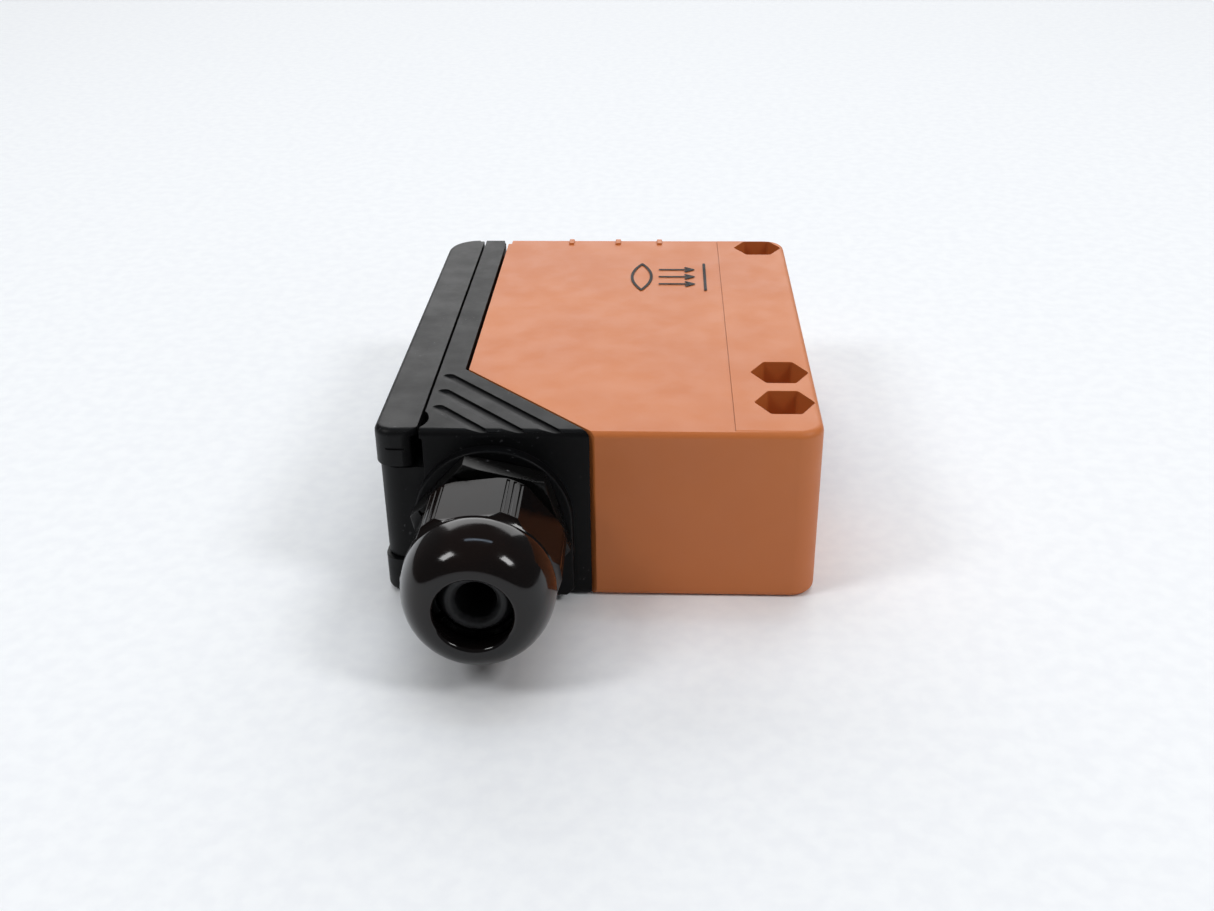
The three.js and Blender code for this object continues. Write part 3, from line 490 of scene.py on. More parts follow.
def linear(colour: str) -> tuple[float, float, float, float]:
    """An sRGB hex colour as linear light: below 0.04045 a twelfth or so, above it a power of 2.4.

    Args:
        colour: The colour as a number sign and six hex digits.

    Returns:
        Red, green and blue in linear light, and full opacity.
    """
    value = np.array([int(colour[i : i + 2], 16) / 255 for i in (1, 3, 5)])
    light = np.where(value <= 0.04045, value / 12.92, ((value + 0.055) / 1.055) ** 2.4)
    return (*map(float, light), 1.0)


class Graph:
    """The node tree of one material, with a Principled shader that every finish feeds."""

    def __init__(self, name: str, **shader: float | tuple[float, ...]) -> None:
        """Starts a material and sets the shader's own sockets.

        Args:
            name: The material's name.
            shader: Values for the shader's sockets, with underscores for spaces.
        """
        self.material = bpy.data.materials.new(name)
        self.material.use_nodes = True
        self.tree = self.material.node_tree
        self.tree.nodes.clear()
        self.shader = self.add("ShaderNodeBsdfPrincipled")
        output = self.add("ShaderNodeOutputMaterial")
        self.tree.links.new(self.shader.outputs[0], output.inputs["Surface"])
        self.place = self.add("ShaderNodeTexCoord").outputs["Object"]
        for key, value in shader.items():
            self.shader.inputs[key.replace("_", " ")].default_value = value

    def add(self, kind: str, inputs: dict[str | int, Value] | None = None, **settings: object) -> bpy.types.Node:
        """Adds a node with its settings and links.

        Args:
            kind: The node's type.
            inputs: A value or an output socket for each named or numbered input.
            settings: The node's own properties.

        Returns:
            The node.
        """
        node = self.tree.nodes.new(kind)
        for key, value in settings.items():
            setattr(node, key, value)
        for key, value in (inputs or {}).items():
            if isinstance(value, Socket):
                self.tree.links.new(value, node.inputs[key])
            else:
                node.inputs[key].default_value = value
        return node

    def noise(self, size_mm: float, detail: float = 2, roughness: float = 0.5, stretch: Value = (1, 1, 1)) -> Socket:
        """Noise whose lumps are about the given size.

        Args:
            size_mm: The size of a lump in millimetres.
            detail: How many finer layers lie on it.
            roughness: How strong those layers are.
            stretch: The pattern's scale along each axis.

        Returns:
            The noise value's socket.
        """
        place = self.add("ShaderNodeMapping", {"Vector": self.place, "Scale": stretch}).outputs[0]
        scale = 1 / (size_mm * METRES)
        inputs = {"Vector": place, "Scale": scale, "Detail": detail, "Roughness": roughness}
        return self.add("ShaderNodeTexNoise", inputs).outputs[0]

    def ramp(self, value: Socket, start: float, end: float, low: float = 0, high: float = 1) -> Socket:
        """A value mapped smoothly from one range to another and held at its ends."""
        inputs = {"Value": value, "From Min": start, "From Max": end, "To Min": low, "To Max": high}
        return self.add("ShaderNodeMapRange", inputs, interpolation_type="SMOOTHSTEP").outputs[0]

    def mix(self, factor: Value, first: Value, second: Value) -> Socket:
        """Two colours mixed by a factor."""
        inputs = {0: factor, 6: first, 7: second}
        return self.add("ShaderNodeMix", inputs, data_type="RGBA").outputs[2]

    def maths(self, operation: str, first: Value, second: Value = 0.0) -> Socket:
        """One arithmetic step on two values."""
        return self.add("ShaderNodeMath", {0: first, 1: second}, operation=operation).outputs[0]

    def feed(self, **links: Socket) -> None:
        """Links sockets into the shader's inputs, with underscores for spaces."""
        for key, socket in links.items():
            self.tree.links.new(socket, self.shader.inputs[key.replace("_", " ")])

    def bump(self, height: Socket, depth_mm: float, under: Socket | None = None) -> Socket:
        """A height pattern turned into a bent normal.

        Args:
            height: The pattern.
            depth_mm: How deep its full range is in millimetres.
            under: Another bump that this one lies on.

        Returns:
            The normal's socket.
        """
        inputs: dict[str | int, Value] = {"Height": height, "Distance": depth_mm * METRES, "Strength": 1.0}
        if under:
            inputs["Normal"] = under
        return self.add("ShaderNodeBump", inputs).outputs[0]


@dataclass(frozen=True)
class MouldedPlastic:
    """Injection-moulded thermoplastic from a spark-eroded mould: a fine even grain that scatters its highlight."""

    name: str
    colour: str
    shade: str
    roughness: float = 0.5
    ior: float = 1.5
    grain_mm: float = 0.45  # real grit is about 0.1 mm; drawn coarser so that it shows
    grain_depth_mm: float = 0.006
    sheen: float = 0.5  # the share of mirrored light, where a half is the full amount for the index of refraction
    scuff: str = ""  # the colour of rubbed and dusty specks, if there are any
    drift_mm: float = 28
    gloss_mm: float = 6
    patch_mm: float = 9  # where specks gather
    speck_mm: float = 0.7  # real dust is finer; drawn coarser so that it shows

    def material(self) -> bpy.types.Material:
        """Colour and gloss drift a little across the piece, and specks gather in patches.

        Returns:
            The material.
        """
        graph = Graph(self.name, IOR=self.ior, Specular_IOR_Level=self.sheen)
        flow = graph.noise(self.drift_mm, 3, 0.55)
        colour = graph.mix(graph.ramp(flow, 0.3, 0.7), linear(self.colour), linear(self.shade))
        grain = graph.noise(self.grain_mm, 3, 0.6)
        rough = graph.ramp(graph.noise(self.gloss_mm, 4, 0.6), 0.25, 0.75, self.roughness - 0.05, self.roughness + 0.05)
        if self.scuff:
            patch = graph.ramp(graph.noise(self.patch_mm, 2, 0.5), 0.5, 0.72)
            speck = graph.ramp(graph.noise(self.speck_mm, 2, 0.5), 0.66, 0.74)
            amount = graph.maths("MULTIPLY", patch, graph.maths("MULTIPLY", speck, 0.5))
            colour = graph.mix(amount, colour, linear(self.scuff))
        graph.feed(Base_Color=colour, Roughness=rough, Normal=graph.bump(grain, self.grain_depth_mm))
        return graph.material


@dataclass(frozen=True)
class PolishedPlastic:
    """Polyamide from a polished mould: a clear gloss over a dark body, broken by faint flow waves and fine grain."""

    name: str
    colour: str
    shade: str
    roughness: float = 0.1
    ior: float = 1.53
    sheen: float = 0.34  # the share of mirrored light on the dome, where a half is the full amount for the index
    grip_sheen: float = 0.07  # the same share on the grip, which is made to look duller than the dome
    grip_mm: Pair = (-50.6, -49.6)  # where along Y, in the row frame, the dome's share gives way to the grip's
    tint_mm: float = 12
    gloss_mm: float = 3
    wave_mm: float = 4.5
    wave_depth_mm: float = 0.012
    grain_mm: float = 0.5
    grain_depth_mm: float = 0.001

    def material(self) -> bpy.types.Material:
        """A glossy skin whose reflections wander slightly.

        Returns:
            The material.
        """
        graph = Graph(self.name, IOR=self.ior)
        place = graph.add("ShaderNodeSeparateXYZ", {0: graph.place}).outputs["Y"]
        start, end = (limit * METRES for limit in self.grip_mm)
        graph.feed(Specular_IOR_Level=graph.ramp(place, start, end, self.sheen, self.grip_sheen))
        tint = graph.ramp(graph.noise(self.tint_mm, 2), 0.35, 0.65)
        colour = graph.mix(tint, linear(self.colour), linear(self.shade))
        rough = graph.ramp(graph.noise(self.gloss_mm, 5, 0.65), 0.3, 0.7, self.roughness - 0.04, self.roughness + 0.06)
        wave = graph.bump(graph.noise(self.wave_mm, 1), self.wave_depth_mm)
        skin = graph.bump(graph.noise(self.grain_mm, 2), self.grain_depth_mm, wave)
        graph.feed(Base_Color=colour, Roughness=rough, Normal=skin)
        return graph.material


@dataclass(frozen=True)
class Rubber:
    """Moulded rubber: dull, nearly black, with talc in its pores."""

    name: str
    colour: str = "#1B1B1D"
    talc: str = "#3A3A3C"
    roughness: float = 0.72

    def material(self) -> bpy.types.Material:
        """A dull skin with a pale bloom.

        Returns:
            The material.
        """
        graph = Graph(self.name, IOR=1.52)
        bloom = graph.ramp(graph.noise(1.4, 4, 0.7), 0.45, 0.8)
        colour = graph.mix(bloom, linear(self.colour), linear(self.talc))
        rough = graph.ramp(bloom, 0, 1, self.roughness, self.roughness + 0.15)
        graph.feed(Base_Color=colour, Roughness=rough, Normal=graph.bump(graph.noise(0.4, 3, 0.6), 0.01))
        return graph.material


@dataclass(frozen=True)
class PlatedMetal:
    """Turned or stamped metal with a thin plating: fine tool lines and slightly patchy brightness."""

    name: str
    colour: str
    shade: str
    roughness: float = 0.28
    line_mm: float = 0.25  # spacing of the tool lines, drawn coarser than the real 0.05 mm so that they show
    stretch: tuple[float, float, float] = (1, 1, 0.08)

    def material(self) -> bpy.types.Material:
        """Metal whose lines run along one axis.

        Returns:
            The material.
        """
        graph = Graph(self.name, Metallic=1.0)
        lines = graph.noise(self.line_mm, 2, 0.5, self.stretch)
        patch = graph.ramp(graph.noise(2.5, 3, 0.6), 0.3, 0.7)
        colour = graph.mix(patch, linear(self.colour), linear(self.shade))
        rough = graph.ramp(lines, 0.3, 0.7, self.roughness - 0.06, self.roughness + 0.08)
        graph.feed(Base_Color=colour, Roughness=rough, Normal=graph.bump(lines, 0.003))
        return graph.material


@dataclass(frozen=True)
class ClearPolymer:
    """Cast or moulded clear plastic: light passes through, tinted by a dye, over faint moulding waves."""

    name: str
    colour: str
    roughness: float = 0.04
    ior: float = 1.49
    clarity: float = 1.0  # how much of the light passes through the body

    def material(self) -> bpy.types.Material:
        """A clear body with a wandering gloss.

        Returns:
            The material.
        """
        graph = Graph(self.name, IOR=self.ior, Transmission_Weight=self.clarity)
        tint = graph.ramp(graph.noise(15, 2), 0.3, 0.7, 0, 0.12)
        colour = graph.mix(tint, linear(self.colour), linear("#000000"))
        rough = graph.ramp(graph.noise(5, 3), 0.3, 0.7, self.roughness, self.roughness + 0.03)
        graph.feed(Base_Color=colour, Roughness=rough, Normal=graph.bump(graph.noise(6, 1), 0.004))
        return graph.material


@dataclass(frozen=True)
class CircuitLaminate:
    """Glass-epoxy board under green solder mask: the mask is glossy and darker over the copper lines."""

    name: str
    mask: str = "#1C5F38"
    copper: str = "#2F8A55"
    track_mm: float = 1.2

    def material(self) -> bpy.types.Material:
        """Copper lines as the rims of square cells: where the distance to a cell's middle passes a limit.

        Returns:
            The material.
        """
        graph = Graph(self.name, IOR=1.55, Coat_Weight=0.3, Coat_Roughness=0.1)
        cell = graph.add(
            "ShaderNodeTexVoronoi", {"Vector": graph.place, "Scale": 1 / (self.track_mm * METRES)},
            feature="F1", distance="CHEBYCHEV",
        ).outputs["Distance"]
        track = graph.ramp(cell, 0.42, 0.46)
        colour = graph.mix(track, linear(self.mask), linear(self.copper))
        graph.feed(Base_Color=colour, Roughness=graph.ramp(track, 0, 1, 0.3, 0.36), Normal=graph.bump(track, 0.03))
        return graph.material


@dataclass(frozen=True)
class VarnishedCore:
    """Stacked steel laminations dipped in brown varnish: thin lines across the stack under a patchy gloss."""

    name: str
    colour: str = "#5B4632"
    shade: str = "#33261B"
    sheet_mm: float = 0.5

    def material(self) -> bpy.types.Material:
        """Bands of sheet-steel edges.

        Returns:
            The material.
        """
        graph = Graph(self.name, IOR=1.55, Coat_Weight=0.4, Coat_Roughness=0.25)
        wave = graph.add(
            "ShaderNodeTexWave",
            {"Vector": graph.place, "Scale": 1 / (self.sheet_mm * METRES) / 20, "Distortion": 0.6},
            bands_direction="X",
        ).outputs[1]
        colour = graph.mix(wave, linear(self.colour), linear(self.shade))
        rough = graph.ramp(graph.noise(2, 3), 0.3, 0.7, 0.35, 0.55)
        graph.feed(Base_Color=colour, Roughness=rough, Normal=graph.bump(wave, 0.05))
        return graph.material


Finish = MouldedPlastic | PolishedPlastic | Rubber | PlatedMetal | ClearPolymer | CircuitLaminate | VarnishedCore

# The finish of each of the record's material slots.
FINISHES: dict[str, Finish] = {
    "orange_housing": MouldedPlastic("orange_pbt_moulded", "#CA743A", "#C46E36", 0.5, grain_depth_mm=0.005),
    "black_housing": MouldedPlastic("black_pbt_moulded", "#09090A", "#060607", 0.46, sheen=0.16, scuff="#5A5A5C"),
    "black_cover": MouldedPlastic("black_cover_pbt_moulded", "#0B0B0C", "#080809", 0.46, sheen=0.2, scuff="#66666A"),
    "stainless_pin": PlatedMetal("stainless_pin_drawn", "#B9B8B5", "#A3A29F", 0.25),
    "seal_rubber": Rubber("nitrile_seal_moulded"),
    "insert_rubber": Rubber("neoprene_insert_moulded", "#141415", "#2E2E30", 0.6),
    "nickel_steel": PlatedMetal("screw_steel_nickel_plated", "#C6C1B6", "#A9A499", 0.22),
    "zinc_steel": PlatedMetal("screw_steel_zinc_plated", "#B9BBBF", "#989BA1", 0.3),
    "black_polyamide": MouldedPlastic("black_polyamide_moulded", "#121213", "#0E0E0F", 0.5, sheen=0.12),
    "gland_polyamide": MouldedPlastic("gland_polyamide_satin", "#080808", "#0B0A09", 0.3, sheen=0.25, scuff="#8A8A8C"),
    "natural_polyamide": MouldedPlastic("natural_polyamide_moulded", "#D8D2BF", "#CEC7B2", 0.45),
    "gland_nut_gloss": PolishedPlastic("gland_nut_polyamide_polished", "#0D0B0B", "#150E0C"),
    "grey_terminal_plastic": MouldedPlastic("grey_polyamide_moulded", "#7E8287", "#74787D", 0.5),
    "brass_clamp": PlatedMetal("clamp_brass_stamped", "#C9A55C", "#B08C45", 0.3),
    "tinned_pins": PlatedMetal("pins_tinned", "#BDBDB7", "#A6A6A0", 0.35),
    "blue_trimmer_plastic": MouldedPlastic("blue_diallyl_moulded", "#2A57A0", "#264F93", 0.42),
    "white_rotor_plastic": MouldedPlastic("white_acetal_moulded", "#E4E1D6", "#D9D6CA", 0.4),
    "switch_plastic": MouldedPlastic("switch_polyamide_moulded", "#2B2C30", "#25262A", 0.45),
    "circuit_laminate": CircuitLaminate("board_glass_epoxy_masked"),
    "relay_case": MouldedPlastic("relay_case_moulded", "#1E1F23", "#1A1B1F", 0.3),
    "capacitor_sleeve": MouldedPlastic("capacitor_sleeve_shrunk", "#22304C", "#1D2942", 0.3),
    "transformer_core": VarnishedCore("core_steel_varnished"),
    "amber_epoxy": ClearPolymer("amber_epoxy_cast", "#E89B20", 0.15, 1.54, 0.6),
    "green_epoxy": ClearPolymer("green_epoxy_cast", "#3FB552", 0.15, 1.54, 0.6),
    "clear_window": ClearPolymer("window_polycarbonate_clear", "#EDEFEF", 0.08, 1.58),
    "carrier_plastic": MouldedPlastic("carrier_polycarbonate_black", "#151516", "#101011", 0.6),
    "clear_lens": ClearPolymer("lens_acrylic_polished", "#F4F8FA", 0.02),
    "clear_epoxy": ClearPolymer("diode_epoxy_clear", "#E2EAEE", 0.04, 1.54),
    "filter_epoxy": ClearPolymer("diode_epoxy_filter", "#3A1B30", 0.06, 1.54, 0.5),
    "red_window": ClearPolymer("window_acrylic_red", "#C8201A", 0.03, 1.49, 0.75),
}
_materials: dict[str, bpy.types.Material] = {}


def material_for(slot: str) -> bpy.types.Material:
    """The material of a slot, made when it is first asked for.

    Args:
        slot: The record's name for the slot.

    Returns:
        The material.
    """
    if slot not in _materials:
        _materials[slot] = FINISHES[slot].material()
    return _materials[slot]


# ---------------------------------------------------------------- the closed block that the housings share


@dataclass
class Block:
    """The body's outer form and the parting lines between its housings, in millimetres."""

    size: tuple[float, float, float]
    cover_thickness: float
    strip_back: float
    corners: tuple[float, float, float, float] = (3, 4, 4, 6)  # from the gland side of the cover, anticlockwise
    edge: float = 1.2
    wall: float = 2.2
    strip_width: float = 3.9
    gusset_run: float = 22.1
    gusset_rise: float = 23
    seam: float = 0.5
    notch_depth: float = 2.5  # how far the far edge's notch, which both housings share, reaches in
    notch_floor: float = 24
    gap: float = 0.3  # between a piece and what it sits in

    @classmethod
    def measured(cls, bench: Bench, cover_gap: float = 0.8) -> "Block":
        """The block whose sizes the CAD's housings and cover have.

        Args:
            bench: Where things stand.
            cover_gap: The CAD's seam between the cover and the strip.

        Returns:
            The block.
        """
        x, y, z = bench.span("main_housing")
        thickness = bench.span("terminal_cover")[0][1]
        return cls((x[1], y[1], z[1]), thickness, thickness + cover_gap)

    @property
    def parting(self) -> float:
        """Where the strip ends and the main housing starts."""
        return self.strip_back + self.strip_width

    @property
    def middle(self) -> float:
        """Half the height."""
        return self.size[2] / 2

    @property
    def lean(self) -> np.ndarray:
        """The unit normal of the sloping parting line, which points into the main housing."""
        slope = np.array([self.gusset_rise, self.gusset_run])
        return slope / np.linalg.norm(slope)

    def slope_x(self, y: float, offset: float = 0) -> float:
        """Where the sloping line, moved by an offset along its normal, is at a place along Y."""
        reach = self.lean[0] * (self.parting + self.gusset_run) + offset
        return float((reach - self.lean[1] * y) / self.lean[0])

    def slope_y(self, x: float, offset: float = 0) -> float:
        """Where the sloping line, moved by an offset along its normal, is at a place along X."""
        reach = self.lean[0] * (self.parting + self.gusset_run) + offset
        return float((reach - self.lean[0] * x) / self.lean[1])

    def form(self) -> Stock:
        """The whole block with round upright corners and round long edges."""
        outline = rectangle((0, self.size[0]), (0, self.size[1]), self.corners, 12)
        return prism(Axis.Z, outline, 0, self.size[2], self.edge, self.edge)

    def column(self, corners: Sequence[Pair]) -> Stock:
        """An upright column over the whole height, for sharing the block."""
        return prism(Axis.Z, np.array(corners, float), -BEYOND, self.size[2] + BEYOND)

    def notch(self, start: float, end: float) -> Stock:
        """The cutter of the notch in the far top edge, between two places along X."""
        _, length, height = self.size
        return box((start, end), (length - self.notch_depth, length + BEYOND), (self.notch_floor, height + BEYOND))


# ---------------------------------------------------------------- main housing


@dataclass
class MainHousing:
    """The orange housing: its pockets, window opening, indicator slot and the step of its front band."""

    block: Block
    bench: Bench
    pocket_across: float = 8.4
    pocket_depth: float = 8
    bore_radius: float = 2.9
    bolt_x: float = 64.45
    bolt_y: tuple[float, ...] = (11, 22.5, 85)
    pocket_rounding: float = 0.35
    front_wall: float = 5
    front_depth: float = 12  # how far back from the front the optics have a room of their own
    band: float = 13.8
    band_stand: float = 0.15
    window_ledge: float = 2
    window_corner: float = 2
    window_land: float = 0.5
    slit_flange: float = 1
    slit_corner: float = 1
    notch_end: float = 12.9
    nib_x: tuple[float, ...] = (25.6, 35.4, 44.1)
    nib_half: float = 0.55
    nib_back: Pair = (3, 0.35)  # how far in from the far side a nib starts and ends
    nib_root: float = 2
    nib_stand: float = 0.22
    nib_edge: float = 0.2

    def fixing_cut(self, y: float) -> Stock:
        """A hexagonal nut pocket with a bore under it.

        Args:
            y: Where it stands along Y.

        Returns:
            The cutter.
        """
        centre = (self.bolt_x, y)
        height = self.block.size[2]
        corner = self.pocket_across / np.sqrt(3)
        outline = rounded(circle(centre, corner, 6), self.pocket_rounding, steps=4)
        pocket = prism(Axis.Z, outline, height - self.pocket_depth, height + BEYOND)
        return pocket.join(rod(Axis.Z, centre, self.bore_radius, -BEYOND, height))

    def shell(self) -> Stock:
        """The block's front share, hollowed, with its window rebate, indicator slot, band, pockets and nibs.

        Returns:
            The housing's solid.
        """
        block, gap, flange = self.block, self.block.gap, self.slit_flange
        width, length, height = block.size
        inner_y, inner_z = (block.wall, length - block.wall), (block.wall, height - block.wall)
        share = block.column([
            (block.slope_x(-BEYOND, block.seam), -BEYOND),
            (width + BEYOND, -BEYOND),
            (width + BEYOND, length + BEYOND),
            (block.parting + block.seam, length + BEYOND),
            (block.parting + block.seam, block.slope_y(block.parting + block.seam, block.seam)),
        ])
        window_y, window_z = self.bench.span("front_window")[1:]
        rebate_floor = self.bench.span("front_seal")[0][0] - gap
        slit_x, _, slit_z = self.bench.span("indicator_window")
        rebate_y, rebate_z = (window_y[0] - gap, window_y[1] + gap), (window_z[0] - gap, window_z[1] + gap)
        rebate = rectangle(rebate_y, rebate_z, self.window_corner, 8)
        light = inset(rebate, self.window_ledge)
        solid_from = width - self.front_depth
        land_low, land_high = rebate_y[0] - self.window_land, rebate_y[1] + self.window_land
        cavity = box((-BEYOND, solid_from), inner_y, inner_z)
        optics_room = box((solid_from - JOIN, width - self.front_wall), (land_low, land_high), inner_z)
        steps = [
            box((block.parting, width - self.band), (-BEYOND, length + BEYOND), z)
            for z in ((height - self.band_stand, height + BEYOND), (-BEYOND, self.band_stand))
        ]
        slot = rectangle(
            (slit_z[0] + flange - gap, slit_z[1] - flange + gap),
            (slit_x[0] + flange - gap, slit_x[1] - flange + gap),
            self.slit_corner,
        )
        notch = block.notch(block.parting - BEYOND, self.notch_end)
        shell = block.form().keep(share).cut(cavity, optics_room, *steps, notch)
        shell.cut(prism(Axis.X, rebate, rebate_floor, width + BEYOND))
        shell.cut(prism(Axis.X, light, width - self.front_wall - BEYOND, width + BEYOND))
        shell.cut(prism(Axis.Y, slot, inner_y[1] - BEYOND, length + BEYOND))
        shell.cut(*(self.fixing_cut(y) for y in self.bolt_y))
        nib_y = (length - self.nib_back[0], length - self.nib_back[1])
        nib_z = (height - self.nib_root, height + self.nib_stand)
        half = self.nib_half
        return shell.join(*(box((x - half, x + half), nib_y, nib_z, self.nib_edge) for x in self.nib_x))

    def build(self) -> None:
        """Makes the housing."""
        self.bench.deliver("main_housing_shell", self.shell(), ["main_housing"], 0.12)


# ---------------------------------------------------------------- connection housing


@dataclass
class ConnectionHousing:
    """The black housing of the terminal chamber: its strip, gusset, finger grooves, gland boss, tray and knuckle."""

    block: Block
    bench: Bench
    groove_width: float = 2.3
    groove_depth: float = 0.45
    groove_first: float = 3.9
    groove_pitch: float = 5.7
    groove_count: int = 3
    groove_from_strip: float = 2.4
    tray_depth: float = 22.2
    tray_floor: float = 1.8
    boss_radius: float = 12.5
    boss_stand: float = 2
    boss_foot: float = 1.2
    knuckle_radius: float = 3.6
    lug_height: float = 6.7
    web_step: float = 0.5
    swing_radius: float = 4.45
    pin_hole: float = 1.15
    chamber_far: float = 78.5
    chamber_z: Pair = (4.4, 25.6)
    near_wall: float = 3.2
    rim_wall: float = 2.4
    mouth_near: float = 11.5
    lip_stand: float = 0.42
    lip_width: float = 1.5
    tray_side: float = 2.6
    tray_far_gap: float = 0.6
    gland_bore: Pair = (9.6, 8)  # its radius, and how far in it reaches
    ring_seat: Pair = (10.9, -0.9)  # its radius, and where its floor is
    screw_hole: Pair = (2.3, 13.6)
    fixing_hole: float = 1.9
    notch_reach: float = 0.45

    def groove_cut(self, index: int) -> Stock:
        """A finger groove beside the sloping parting line. Its section is a ramp: a steep step on the side of the
        main housing, from which the floor rises to the surface on the gland's side. At its start the section shrinks
        as the square root of one minus the square of how far it lies outside, which makes the end round.

        Args:
            index: Which groove it is, from the parting line.

        Returns:
            The cutter.
        """
        block, width = self.block, self.groove_width
        offset = -(self.groove_first + index * self.groove_pitch) * block.lean[0]
        start_x = block.strip_back + self.groove_from_strip
        start = np.array([start_x, block.slope_y(start_x, offset)])
        end = np.array([block.slope_x(-BEYOND, offset), -BEYOND])
        length = float(np.linalg.norm(end - start))
        run = np.concatenate([-width / 2 * np.cos(np.linspace(0.2, np.pi / 2, 9)), [length]])
        size = np.sqrt(np.maximum(1 - (np.minimum(run, 0) / (width / 2)) ** 2, 0))
        top = block.size[2]
        across = np.array([0, 0, 0.12, 0.35, 1, 1])
        level = np.array([BEYOND, -0.7, -0.97, -1, 0.04, BEYOND])
        side = (0.5 + (across[None] - 0.5) * size[:, None]) * width
        along = (end - start) / length
        flat = start + run[:, None, None] * along - side[..., None] * block.lean
        depth = np.where(level < 0.5, level * self.groove_depth * size[:, None], BEYOND)
        return loft(np.concatenate([flat, (top + depth)[..., None]], -1))

    def boss(self, x: float) -> Stock:
        """The arched boss under the gland: straight sides, a half circle over them and a chamfered foot.

        Args:
            x: Where the gland's axis stands along X.

        Returns:
            The boss.
        """
        middle, radius, foot = self.block.middle, self.boss_radius, self.boss_foot
        arch = np.concatenate([
            [(foot, x - radius + foot), (2 * foot, x - radius)],
            arc((middle, x), radius, -np.pi / 2, np.pi / 2, 40),
            [(2 * foot, x + radius), (foot, x + radius - foot)],
        ])
        return prism(Axis.Y, arch, -self.boss_stand, BEYOND, 0.35)

    def shell(self) -> Stock:
        """The block's back share, with its lip, tray, boss, chamber, knuckle, holes and grooves.

        Returns:
            The housing's solid.
        """
        block, bench = self.block, self.bench
        _, length, height = block.size
        back, parting = block.strip_back, block.parting
        tray_back = back + self.tray_depth
        floor = tray_back - self.tray_floor
        pin, gland = bench.centre("hinge_pin", Axis.Z), bench.centre("gland_cap_nut", Axis.Y)
        front = back - self.lip_stand
        share = block.column([
            (front, -BEYOND), (block.slope_x(-BEYOND), -BEYOND), (parting, block.gusset_rise),
            (parting, length + BEYOND), (front, length + BEYOND),
        ])
        lip = self.lip_width
        shell = block.form().keep(share)
        shell.cut(box((front - BEYOND, back), (-BEYOND, length - lip), (lip, height - lip)))
        shell.join(
            box(
                (back + BEYOND, tray_back),
                (block.wall, length - block.wall - self.tray_far_gap),
                (self.tray_side, height - self.tray_side),
            ),
            self.boss(gland[1]),
        )
        outside = -self.boss_stand - 3 * BEYOND
        mouth = rectangle((self.mouth_near, self.chamber_far), self.chamber_z, 1)
        under_rim = rectangle((self.near_wall, self.mouth_near + 3), self.chamber_z, 1)
        shell.cut(
            prism(Axis.X, mouth, -BEYOND, floor),
            prism(Axis.X, under_rim, back + self.rim_wall, floor),
            rod(Axis.Y, gland, self.gland_bore[0], outside, self.gland_bore[1]),
            rod(Axis.Y, gland, self.ring_seat[0], outside, self.ring_seat[1]),
        )
        knuckle = (self.lug_height, height - self.lug_height)
        shell.cut(
            rod(Axis.Z, pin, self.swing_radius, -BEYOND, knuckle[0]),
            rod(Axis.Z, pin, self.swing_radius, knuckle[1], height + BEYOND),
        )
        radius = self.knuckle_radius
        web_y = (pin[1] - radius, pin[1] + radius - self.web_step)
        shell.join(
            rod(Axis.Z, pin, radius, *knuckle, 0.15, 0.15),
            box((pin[0], back + 1.2), web_y, knuckle, 0.1),
        )
        shell.cut(rod(Axis.Z, pin, self.pin_hole, -BEYOND, height + BEYOND, steps=32))
        screw = bench.centre("cover_screw", Axis.X)
        shell.cut(rod(Axis.X, screw, self.screw_hole[0], back - BEYOND, self.screw_hole[1], steps=48))
        through = (floor - BEYOND, tray_back + BEYOND)
        for number in range(1, 5):
            place = bench.centre(f"chamber_screw_{number}", Axis.X)
            shell.cut(rod(Axis.X, place, self.fixing_hole, *through, steps=32))
        _, pins_y, pins_z = bench.span("pin_strip")
        gap = block.gap
        shell.cut(box(through, (pins_y[0] - gap, pins_y[1] + gap), (pins_z[0] - gap, pins_z[1] + gap)))
        shell.cut(*(self.groove_cut(index) for index in range(self.groove_count)))
        return shell.cut(block.notch(parting - self.notch_reach, parting + BEYOND))

    def build(self) -> None:
        """Makes the housing."""
        self.bench.deliver("connection_housing_shell", self.shell(), ["connection_housing"], 0.12)


# ---------------------------------------------------------------- terminal cover


